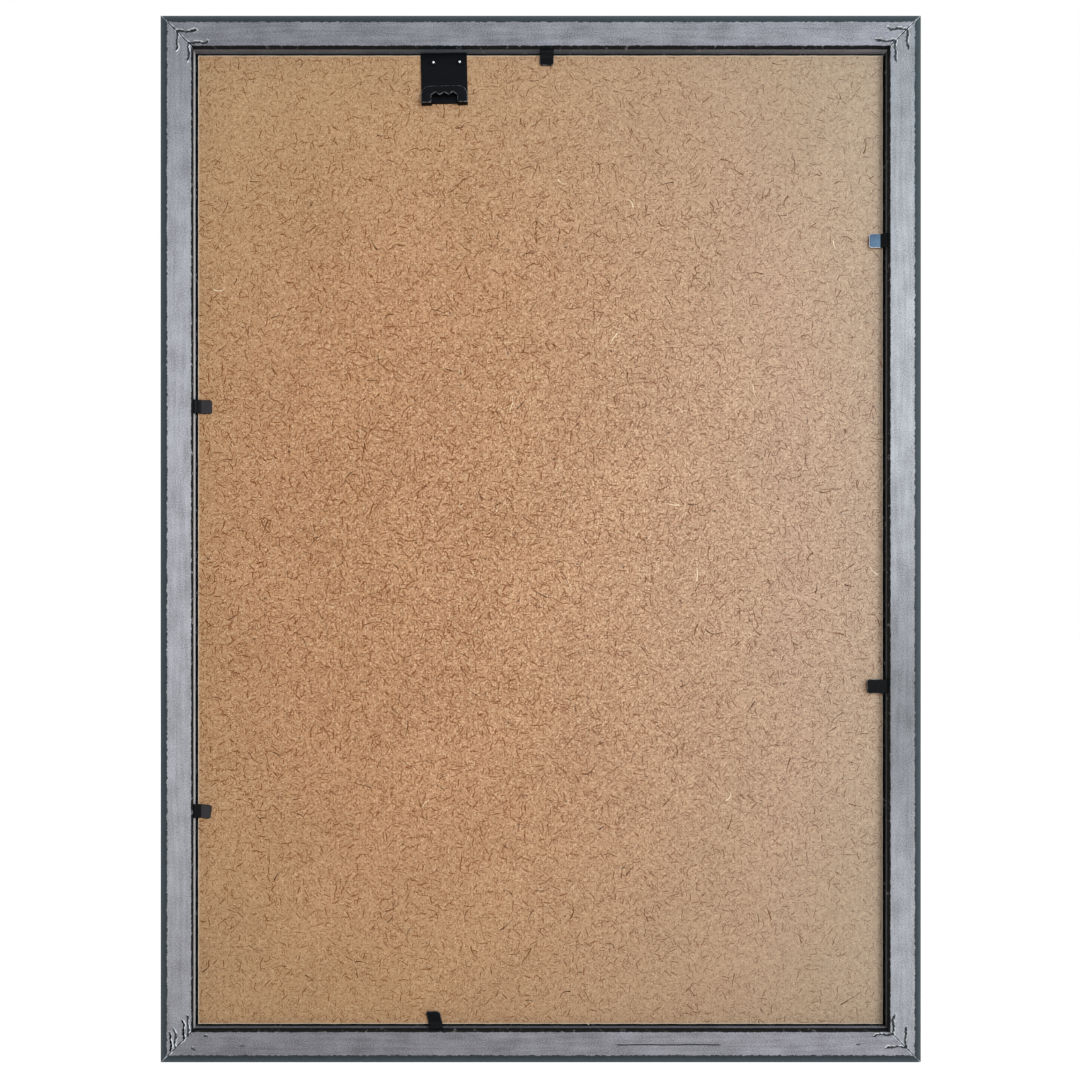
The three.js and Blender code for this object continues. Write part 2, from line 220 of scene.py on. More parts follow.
def rail_section():
    """Section of the moulding as (inwards, forwards) points in mm: the planed back comes first."""
    arris = RAIL_BACK_WIDTH - ARRIS_RADIUS
    columns = round((arris - BACK_ROUND_WIDTH) / COLUMN_STEP)
    back = [(BACK_ROUND_WIDTH, 0)] + run((BACK_ROUND_WIDTH, 0), (arris, 0), columns)
    sight_front = RAIL_DEPTH - SIGHT_RADIUS
    side_front = RAIL_DEPTH - FRONT_RADIUS
    back_round = (BACK_ROUND_WIDTH, BACK_ROUND_DEPTH)
    rest = arc((arris, ARRIS_RADIUS), (ARRIS_RADIUS, ARRIS_RADIUS), -90, 0, 3)
    rest += run((RAIL_BACK_WIDTH, ARRIS_RADIUS), (RAIL_BACK_WIDTH, REBATE_DEPTH), 8)
    rest += run((RAIL_BACK_WIDTH, REBATE_DEPTH), (RAIL_FACE_WIDTH, REBATE_DEPTH), 2)
    rest += run((RAIL_FACE_WIDTH, REBATE_DEPTH), (RAIL_FACE_WIDTH, sight_front), 2)
    rest += arc((RAIL_FACE_WIDTH - SIGHT_RADIUS, sight_front), (SIGHT_RADIUS, SIGHT_RADIUS), 0, 90, 8)
    rest += run((RAIL_FACE_WIDTH - SIGHT_RADIUS, RAIL_DEPTH), (FRONT_RADIUS, RAIL_DEPTH), 4)
    rest += arc((FRONT_RADIUS, side_front), (FRONT_RADIUS, FRONT_RADIUS), 90, 180, 10)
    rest += run((0, side_front), (0, BACK_ROUND_DEPTH), 4)
    rest += arc(back_round, back_round, 180, 270, 10)[:-1]
    return np.array(back + rest), len(back)


def nail_paths():
    """Middle lines of the corner nails on the back plane, in mm, from the boxes of their solids, each with
    whether foam was smeared over its level leg. Where it was, the press also left a second upright stroke."""
    straight = NAIL_LEG - NAIL_FLARE_LENGTH
    legs = np.array([
        (-NAIL_LEG, NAIL_FLARE), (-straight, 0), (0, 0), (0, -straight), (NAIL_FLARE, -NAIL_LEG),
    ])
    paths, second_strokes = [], []
    for up, upward in (("top", 1), ("bottom", -1)):
        for hand, rightward in (("right", 1), ("left", -1)):
            sense = np.array([rightward, upward])
            struck_twice = (up, hand) == STRUCK_TWICE
            for row in ("outer", "inner"):
                low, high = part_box(f"corner_nail_{up}_{hand}_{row}")
                outer_x = high.x if rightward > 0 else low.x
                outer_z = high.z if upward > 0 else low.z
                path = np.array([outer_x, outer_z]) / MM - sense * (NAIL_FLARE + NAIL_HALF) + legs * sense
                paths.append((path, struck_twice))
                if struck_twice:
                    second_strokes.append((path[2:] + SECOND_STROKE, False))
    return paths + second_strokes


def press_marks(points):
    """Height in mm of the planed back over its plane at points (x, z) in mm. Slits waver and open into pits
    near their ends, and burrs stand up beside them in shreds, mostly on one side."""
    CROOK = ((0.2, 1.1, 2.9), (0.08, 3.7, 1.0))
    WIDENING = ((0.15, 0.9, 2.1), (0.15, 3.3, 0.7))
    TEARING = ((0.45, 0.9, -1.9), (0.35, 2.3, 1.0))
    PITTING = ((1.0, 1.0, 2.3),)
    OPEN_SHARE, TORN_SHARE, END_SHARE, END_RATE = 0.85, 0.6, 0.5, 0.6
    height = np.zeros(len(points))
    for number, (path, smeared) in enumerate(nail_paths()):
        distance = np.full(len(points), np.inf)
        place, side, thrown = np.zeros((3, len(points)))
        walked = 0.0
        for start, end in zip(path, path[1:]):
            step = end - start
            length = np.linalg.norm(step)
            share = np.clip((points - start) @ step / length ** 2, 0, 1)
            gap = points - start - share[:, None] * step
            away = np.linalg.norm(gap, axis=1)
            nearer = away < distance
            distance = np.where(nearer, away, distance)
            place = np.where(nearer, walked + share * length, place)
            side = np.where(nearer, np.sign(step[0] * gap[:, 1] - step[1] * gap[:, 0]), side)
            thrown = np.where(nearer, gap @ BURR_SIDE > 0, thrown)
            walked += length
        distance = np.abs(side * distance - waves(place, number, CROOK))
        ends = np.minimum(place, walked - place)
        pit = PIT_SHARE * np.exp(-((ends - PIT_FROM_END) / PIT_LENGTH) ** 2)
        pit *= 1 + waves(place, number, PITTING)
        half = SLIT_HALF * (OPEN_SHARE + waves(place, number, WIDENING) + pit)
        half *= np.clip(END_SHARE + END_RATE * ends, 0, 1)
        slit = np.clip((half - distance) / SLIT_SLOPE, 0, 1)
        burr = np.clip(TORN_SHARE + waves(place, number, TEARING), 0, 1)
        burr *= np.exp(-((distance - half - BURR_WIDTH) / BURR_WIDTH) ** 2)
        burr *= np.where(thrown, 1.0, BURR_FAR_SHARE) * (1 + 0.5 * pit)
        relief = BURR_HEIGHT * burr * (1 - slit) - SLIT_DEPTH * slit
        if smeared:
            covered = np.minimum(place - SMEARED_FROM, NAIL_LEG - place) / SMEARED_SOFT
            relief *= 1 - np.clip(covered, 0, 1)
        height += relief
    return height


def rail_mesh(name, place, length, knocks):
    """One mitred length of moulding, with fine rows near its ends where the nails are.
    Each knock is a shallow scratch: its start, end and distance inwards in mm, and its waviness."""
    MITRE_TEARING = ((0.4, 1.1, 1.0), (0.3, 2.9, 0.0))
    section, back_count = rail_section()
    half = length / 2 - MITRE_SETBACK
    fine = np.concatenate([[0, COLUMN_STEP / 2], np.arange(COLUMN_STEP, FINE_REACH, ROW_STEP)])
    coarse = np.linspace(FINE_REACH, half, round((half - FINE_REACH) / COARSE_STEP) + 1)
    from_end = np.concatenate([fine, coarse]) / half
    shares = np.concatenate([from_end - 1, 1 - from_end[-2::-1]])
    along = shares[:, None] * (half - section[:, 0])
    inward = np.broadcast_to(section[:, 0], along.shape)
    forward = np.broadcast_to(section[:, 1], along.shape)
    rings = np.stack([along, -forward, -inward], axis=2) * MM
    rings = rings @ np.array(place.to_3x3()).T + np.array(place.translation)

    marks = np.zeros(along.shape)
    back = rings[:, :back_count, [0, 2]].reshape(-1, 2) / MM
    marks[:, :back_count] = press_marks(back).reshape(-1, back_count)
    from_mitre = half - inward - np.abs(along)
    torn = np.clip(0.5 + waves(inward, along[:, :1], MITRE_TEARING), 0, 1)
    scars = MITRE_BURR * torn * np.exp(-((from_mitre - MITRE_BURR_PLACE) / MITRE_BURR_WIDTH) ** 2)
    scars -= MITRE_GROOVE * (1.2 - torn) * np.clip(1 - from_mitre / MITRE_GROOVE_WIDTH, 0, 1)
    for start, end, level, wave in knocks:
        on_line = np.clip(np.minimum(along - start, end - along) + 0.5, 0, 1)
        wavy_level = level + waves(along, 0, ((wave, 0.31, 0), (0.5 * wave, 0.83, 0)))
        scars -= KNOCK_DEPTH * on_line * np.exp(-((inward - wavy_level) / KNOCK_HALF) ** 2)
    marks[:, 1:back_count] += scars[:, 1:back_count]
    marks[:, 0] = 0
    rings[:, :, 1] += marks * MM

    mesh = ring_mesh(name, rings)
    attribute = mesh.attributes.new("press_mark", "FLOAT", "POINT")
    attribute.data.foreach_set("value", marks.astype(np.float32).ravel())
    smooth(mesh, 50)
    return mesh


def moulding_material(name, place, turn, half_length, rail_side):
    """Planed polystyrene foam under satin black paint. The core is grainy with open cells, with faint
    lines of the plane and pale scuffs. The paint ends in a ragged line on the back and on the rebate wall."""
    CORE_BURR, CORE_SHADE = "#e9ebee", "#0c0e10"
    PAINT_DARK, PAINT_SHEEN = "#0b0d0f", "#444d52"
    PAINT_RAGGED, ARRIS_RAGGED, CHIP_RAGGED, CHIP_LINE = 2.3, 1.1, -1.8, 0.18
    ARRIS_LINE, FRONT_LINE = RAIL_BACK_WIDTH - 0.15, REBATE_DEPTH - 0.2
    STREAK_LENGTH, STREAK_WIDTH, GRAIN, MOTTLE, SCUFF = 28.0, 1.4, 0.55, 9.0, 3.2
    GRAIN_WEIGHT, GRAIN_HEIGHT = 3.0, 0.06 * MM
    SCUFF_FAINT, SCUFF_FULL, SCUFF_AMOUNT = 0.66, 0.8, 0.4
    BURR_FAINT, BURR_FULL, BURR_AMOUNT = 0.12, 0.34, 0.95
    SUNK_FAINT, SUNK_FULL, SHADE_FADE = -0.08, -0.4, 0.4
    SHEEN_FULL, SHEEN_NONE, SHEEN_LEAST = 2.3, 6.1, 0.1
    ROUND_FULL, ROUND_NONE = 1.6, 2.6

    material, add = new_material(name)
    coords = add("TexCoord").outputs["Object"]
    local = add("Mapping", {
        "Vector": coords, "Location": place.translation, "Rotation": (0, turn, 0), "Scale": (MM, MM, MM),
    }, vector_type="TEXTURE")
    along, height, outwards = add("SeparateXYZ", {0: local}).outputs
    inwards = add("Math", {0: outwards, 1: -1.0}, operation="MULTIPLY")
    depth = add("Math", {0: height, 1: -1.0}, operation="MULTIPLY")
    far_along = add("Math", {0: along}, operation="ABSOLUTE")

    # Where the paint is: outside its ragged line, over the arris onto the wall, and on the whole front
    lengthwise = add("VectorMath", {0: local, 1: (1, 0.5, 0.4)}, operation="MULTIPLY")
    ragged = add("TexNoise", {"Vector": lengthwise, "Scale": 0.5, "Detail": 5.0, "Roughness": 0.72})

    def past_ragged_line(across, line, width, soft, before=0.0, beyond=1.0):
        """One value before and one beyond a line that wanders by the width, softened by a share of it."""
        moved = add("Math", {0: ragged, 1: width, 2: across}, operation="MULTIPLY_ADD")
        centre, blur = line + 0.5 * width, soft * abs(width)
        return add("MapRange", {
            "Value": moved, "From Min": centre - blur, "From Max": centre + blur,
            "To Min": before, "To Max": beyond,
        })

    outside = past_ragged_line(inwards, rail_side["paint_line"], PAINT_RAGGED, 0.05, 1.0, 0.0)
    past_arris = past_ragged_line(inwards, ARRIS_LINE, ARRIS_RAGGED, 0.05)
    high_on_wall = past_ragged_line(depth, rail_side["wall_paint"], ARRIS_RAGGED, 0.1, 1.0, 0.0)
    wall = add("Math", {0: past_arris, 1: high_on_wall}, operation="MULTIPLY")
    front = add("Math", {0: depth, 1: FRONT_LINE}, operation="GREATER_THAN")

    # Paint chipped off along the mitre shows as a pale line over the painted edge
    from_corner = add("Math", {0: half_length, 1: far_along}, operation="SUBTRACT")
    from_mitre = add("Math", {0: from_corner, 1: inwards}, operation="SUBTRACT")
    unchipped = past_ragged_line(from_mitre, CHIP_LINE, CHIP_RAGGED, 0.1)
    band = add("Math", {0: outside, 1: unchipped}, operation="MULTIPLY")
    chipped = add("Math", {0: outside, 1: band}, operation="SUBTRACT")
    back_paint = add("Math", {0: band, 1: wall}, operation="MAXIMUM")
    painted = add("Math", {0: back_paint, 1: front}, operation="MAXIMUM")

    # Bare core: grain, faint lines of the plane and slow mottling, with painted sheen and shade along the
    # rail
    stretched = add("VectorMath", {
        0: local, 1: (1 / STREAK_LENGTH, 1 / STREAK_WIDTH, 1 / STREAK_WIDTH),
    }, operation="MULTIPLY")
    streak = add("TexNoise", {"Vector": stretched, "Scale": 1.0, "Detail": 3.0, "Roughness": 0.55})
    mottle = add("TexNoise", {"Vector": local, "Scale": 1 / MOTTLE, "Detail": 3.0})
    grain = add("TexNoise", {"Vector": local, "Scale": 1 / GRAIN, "Detail": 3.0, "Roughness": 0.65})
    tone = add("Math", {0: streak, 1: mottle}, operation="ADD")
    tone = add("Math", {0: grain, 1: GRAIN_WEIGHT, 2: tone}, operation="MULTIPLY_ADD")
    tone = add("MapRange", {"Value": tone, "From Min": 2.0, "From Max": 3.0})
    core = add("Mix", {
        0: tone, 6: linear(rail_side["dark"]), 7: linear(rail_side["light"]),
    }, data_type="RGBA")
    share_along = add("MapRange", {"Value": along, "From Min": -half_length, "From Max": half_length})
    sheen_and_shade = add("ValToRGB", {0: share_along})
    ramp = sheen_and_shade.color_ramp
    ramp.interpolation = "CARDINAL"
    levels = rail_side["sheen_and_shade"]
    for number in range(1, len(levels) - 1):
        ramp.elements.new(number / (len(levels) - 1))
    for stop, level in zip(ramp.elements, levels):
        stop.color = (level, level, level, 1)
    core = add("Mix", {0: 1.0, 6: core, 7: sheen_and_shade}, data_type="RGBA", blend_type="MULTIPLY")

    # What lies on the core: pale scuffs, torn burrs, painted light and shade on the wall, painted shade in
    # slits and below the board
    scuffs = add("TexNoise", {
        "Vector": local, "Scale": 1 / SCUFF, "Detail": 6.0, "Roughness": 0.8, "Distortion": 1.2,
    })
    scuffed = add("MapRange", {
        "Value": scuffs, "From Min": SCUFF_FAINT, "From Max": SCUFF_FULL, "To Max": SCUFF_AMOUNT,
    })
    # The torn burrs are pale foam, and their white is partly a painted highlight on the side towards the
    # window
    mark = add("Attribute", attribute_name="press_mark").outputs["Fac"]
    torn = add("MapRange", {
        "Value": mark, "From Min": BURR_FAINT, "From Max": BURR_FULL, "To Max": BURR_AMOUNT,
    })
    # Painted light and shade on the rebate wall: lighter on the wall that faces the window, darker on the
    # others
    wall_lighting_colour, lighting_middle, lighting_ends = rail_side["wall_light_and_shade"]
    dust = add("MapRange", {
        "Value": far_along, "From Min": 0.3 * half_length, "From Max": half_length,
        "To Min": lighting_middle, "To Max": lighting_ends,
    })
    lit_and_shaded_wall = add("Math", {0: past_arris, 1: dust}, operation="MULTIPLY")
    # Painted shade in the slits and in the gap below the board's face
    sunk = add("MapRange", {"Value": mark, "From Min": SUNK_FAINT, "From Max": SUNK_FULL})
    shade_from = rail_side["shade_from"]
    low = add("MapRange", {"Value": depth, "From Min": shade_from, "From Max": shade_from + SHADE_FADE})
    shaded_below_board = add("Math", {0: low, 1: past_arris}, operation="MULTIPLY")
    slit_and_gap_shade = add("Math", {0: sunk, 1: shaded_below_board}, operation="MAXIMUM")
    for amount, tint in (
        (scuffed, CORE_BURR), (torn, CORE_BURR), (lit_and_shaded_wall, wall_lighting_colour), (slit_and_gap_shade, CORE_SHADE),
        (chipped, CORE_BURR),
    ):
        core = add("Mix", {0: amount, 6: core, 7: linear(tint)}, data_type="RGBA")

    # Paint: black and dense, paler on the rounded outer edge of the back as a painted sheen
    on_edge = add("Math", {0: scuffs, 1: 3.0, 2: inwards}, operation="MULTIPLY_ADD")
    near_edge = add("MapRange", {
        "Value": on_edge, "From Min": SHEEN_FULL, "From Max": SHEEN_NONE, "To Min": 1.0, "To Max": SHEEN_LEAST,
    })
    on_round = add("MapRange", {
        "Value": depth, "From Min": ROUND_FULL, "From Max": ROUND_NONE, "To Min": 1.0, "To Max": SHEEN_LEAST,
    })
    edge_sheen = add("Math", {0: near_edge, 1: on_round}, operation="MULTIPLY")
    paint = add("Mix", {0: edge_sheen, 6: linear(PAINT_DARK), 7: linear(PAINT_SHEEN)}, data_type="RGBA")
    colour = add("Mix", {0: painted, 6: core, 7: paint}, data_type="RGBA")

    # Relief: grain and plane lines in the core, under a smoother skin of paint that ends in a step
    bare_relief = add("Math", {0: streak, 1: 0.6, 2: grain}, operation="MULTIPLY_ADD")
    paint_relief = add("Math", {0: grain, 1: 0.3, 2: 1.4}, operation="MULTIPLY_ADD")
    relief = add("Mix", {0: painted, 2: bare_relief, 3: paint_relief})
    bump = add("Bump", {"Height": relief, "Distance": GRAIN_HEIGHT, "Strength": 1.0})
    gloss = add("Math", {0: band, 1: front}, operation="MAXIMUM")
    roughness = add("MapRange", {"Value": gloss, "To Min": 0.62, "To Max": 0.48})
    shader = add("BsdfPrincipled", {
        "Base Color": colour, "Roughness": roughness, "Specular IOR Level": 0.15, "Normal": bump,
    })
    add("OutputMaterial", {"Surface": shader})
    return material


frame_width = cad_high.x - cad_low.x
frame_height = cad_high.z - cad_low.z
# Core colours and the levels along each rail carry painted light: the uprights are lighter as a painted sheen
# of the window, and each rail is lighter and darker along its length as painted sheen and shade. The wall
# colours are painted light on the wall facing the window and painted shade on the others, and from a given
# depth below the board's face the wall gets painted shade.
rail_sides = {
    "top": dict(turn=0, outer=(middle.x, back_plane, cad_high.z), length=frame_width,
                dark="#777478", light="#b4b0b6", sheen_and_shade=(0.98, 0.84, 0.75, 0.69, 0.68), paint_line=3.55,
                wall_paint=2.5, wall_light_and_shade=("#39434a", 0.6, 0.1), shade_from=5.6, knocks=()),
    "right": dict(turn=90, outer=(cad_high.x, back_plane, middle.z), length=frame_height,
                  dark="#979497", light="#d3cfd4", sheen_and_shade=(0.55, 0.74, 0.82, 0.79, 0.77, 0.72, 0.62),
                  paint_line=3.35, wall_paint=2.7, wall_light_and_shade=("#f6f7f8", 0.4, 0.4), shade_from=4.8, knocks=()),
    "bottom": dict(turn=180, outer=(middle.x, back_plane, cad_low.z), length=frame_width,
                   dark="#757275", light="#ada9af", sheen_and_shade=(0.75, 0.73, 0.78, 0.93, 1.0),
                   paint_line=3.7, wall_paint=3.6, wall_light_and_shade=("#39434a", 0.4, 0.0), shade_from=5.4,
                   knocks=((32, 77, 8.05, 0.06), (135, 137, 8.7, 0.5), (-129, -127, 7.9, 0.5))),
    "left": dict(turn=-90, outer=(cad_low.x, back_plane, middle.z), length=frame_height,
                 dark="#979698", light="#d5d3d8", sheen_and_shade=(0.74, 0.71, 0.46, 0.68, 0.8, 0.73, 0.58),
                 paint_line=3.25, wall_paint=3.3, wall_light_and_shade=("#39434a", 0.7, 0.7), shade_from=4.7, knocks=()),
}
side_places = {}
for side, rail_side in rail_sides.items():
    turn = math.radians(rail_side["turn"])
    length = rail_side["length"] / MM
    side_places[side] = Matrix.Translation(rail_side["outer"]) @ Matrix.Rotation(turn, 4, "Y")
    mesh = rail_mesh(f"{side}_moulding", side_places[side], length, rail_side["knocks"])
    finish = moulding_material(
        f"planed_foam_black_paint_{side}", side_places[side], turn, length / 2, rail_side)
    rail = new_piece(f"{side}_moulding", mesh, finish)
    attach(rail, "frame")
    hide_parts(f"{side}_rail")


# Corner nails: steel strip bent to a right angle and pressed across each mitre. Only the sheared upper
# edges show, dull and a little below the planed back, so their solids stay as they are. Their steel is
# darkened as painted shade in the slits.
def sheared_steel():
    """Sheared steel strip: metallic grey in dull patches, darkened as painted shade in the slits, with fine
    lines that the shear dragged.
    """
    STEEL_SHADED, STEEL_BRIGHT = "#1e1f20", "#55575a"
    LINE, PATCH, LINE_HEIGHT = 0.25, 1.5, 0.03 * MM
    material, add = new_material("sheared_steel_shaded")
    coords = add("TexCoord").outputs["Object"]
    lines = add("TexNoise", {"Vector": coords, "Scale": 1 / (LINE * MM), "Detail": 3.0})
    patches = add("TexNoise", {"Vector": coords, "Scale": 1 / (PATCH * MM), "Detail": 2.0})
    colour = add("Mix", {0: patches, 6: linear(STEEL_SHADED), 7: linear(STEEL_BRIGHT)}, data_type="RGBA")
    roughness = add("MapRange", {"Value": lines, "To Min": 0.4, "To Max": 0.65})
    bump = add("Bump", {"Height": lines, "Distance": LINE_HEIGHT})
    shader = add("BsdfPrincipled", {
        "Base Color": colour, "Metallic": 1.0, "Roughness": roughness, "Normal": bump,
    })
    add("OutputMaterial", {"Surface": shader})
    return material


def refinish(node_name, material):
    """A solid that is shown as it is, in a better finish."""
    solid = frame["nodes"][node_name]
    solid.data.materials.clear()
    solid.data.materials.append(material)


nail_steel = sheared_steel()
for node_name in frame["nodes"]:
    if node_name.startswith("corner_nail_"):
        refinish(node_name, nail_steel)


# Glass: a cut pane of clear float glass, 2 mm thick, that lies on the lip of the moulding.
# It shows only from the front, with faint waviness and a little dust.
def float_glass():
    """Soda-lime float glass: clear, almost flat, with dust that roughens it in patches."""
    CLEAR = "#fcfefd"
    DUST, WAVE, WAVE_HEIGHT = 14.0, 60.0, 0.02 * MM
    material, add = new_material("clear_float_glass")
    coords = add("TexCoord").outputs["Object"]
    dust = add("TexNoise", {"Vector": coords, "Scale": 1 / (DUST * MM), "Detail": 6.0})
    wave = add("TexNoise", {"Vector": coords, "Scale": 1 / (WAVE * MM), "Detail": 1.0})
    roughness = add("MapRange", {
        "Value": dust, "From Min": 0.4, "From Max": 0.8, "To Min": 0.0, "To Max": 0.06,
    })
    bump = add("Bump", {"Height": wave, "Distance": WAVE_HEIGHT})
    shader = add("BsdfPrincipled", {
        "Base Color": linear(CLEAR), "Roughness": roughness, "IOR": 1.52, "Transmission Weight": 1.0,
        "Normal": bump,
    })
    add("OutputMaterial", {"Surface": shader})
    return material


refinish("glass", float_glass())


# Insert sheet: plain uncoated paper, cut to the size of the glass. It lies loose between glass and board
# and keeps the place of a picture.
def plain_paper():
    """Uncoated wood-free paper: matt, with clouds of fibre and a fine tooth."""
    PAPER_DARK, PAPER_LIGHT = "#e6e2d8", "#f3f1ea"
    CLOUD, TOOTH, TOOTH_HEIGHT = 5.0, 0.4, 0.02 * MM
    material, add = new_material("uncoated_paper")
    coords = add("TexCoord").outputs["Object"]
    cloud = add("TexNoise", {"Vector": coords, "Scale": 1 / (CLOUD * MM), "Detail": 5.0})
    tooth = add("TexNoise", {"Vector": coords, "Scale": 1 / (TOOTH * MM), "Detail": 2.0})
    colour = add("Mix", {0: cloud, 6: linear(PAPER_DARK), 7: linear(PAPER_LIGHT)}, data_type="RGBA")
    bump = add("Bump", {"Height": tooth, "Distance": TOOTH_HEIGHT})
    shader = add("BsdfPrincipled", {"Base Color": colour, "Roughness": 0.9, "Normal": bump})
    add("OutputMaterial", {"Surface": shader})
    return material


refinish("insert_sheet", plain_paper())


# Back board: 2.5 mm hardboard, hot-pressed from wood fibre, smooth side out and sawn to size. Its face is
# a felt of short fibres with some dark bark, with a painted sheen towards one side and a painted shadow
# along that side's wall, and its sawn edges are paler and a little rough.
EDGE_STEP = 2.0
EDGE_WANDER = 0.1
EDGE_INSET = 0.45
EDGE_DROP = 0.3
FRONT_BREAK = 0.2
board_low, board_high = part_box("back_board")
board_middle = (board_low + board_high) / 2


def board_mesh():
    """A slab with softly broken edges that wander a little, as a saw leaves them."""
    low = np.array([board_low.x, board_low.z]) / MM
    high = np.array([board_high.x, board_high.z]) / MM
    corners = [low, np.array([high[0], low[1]]), high, np.array([low[0], high[1]])]
    outline, inward = [], []
    for start, end in zip(corners, corners[1:] + corners[:1]):
        length = np.linalg.norm(end - start)
        direction = (end - start) / length
        normal = np.array([-direction[1], direction[0]])
        places = np.linspace(0, length, round(length / EDGE_STEP), endpoint=False)
        outline.append(start)
        inward.append(normal + direction)
        for place in places[1:]:
            wander = 0.5 + 0.3 * math.sin(0.37 * place + start[0]) + 0.2 * math.sin(1.13 * place + start[1])
            outline.append(start + direction * place + normal * EDGE_WANDER * wander)
            inward.append(normal)
    outline, inward = np.array(outline), np.array(inward)
    thickness = (board_high.y - board_low.y) / MM
    back_break = ((EDGE_INSET, 0.0), (EDGE_INSET / 3, 0.08), (0.0, EDGE_DROP))
    rings = []
    for inset, drop in back_break + ((0.0, thickness - FRONT_BREAK), (FRONT_BREAK, thickness)):
        x, z = (outline + inward * inset).T
        rings.append(np.stack([x, np.full(len(x), board_high.y / MM - drop), z], axis=1))
    mesh = ring_mesh("hardboard_back", np.stack(rings) * MM)
    smooth(mesh, 40)
    return mesh


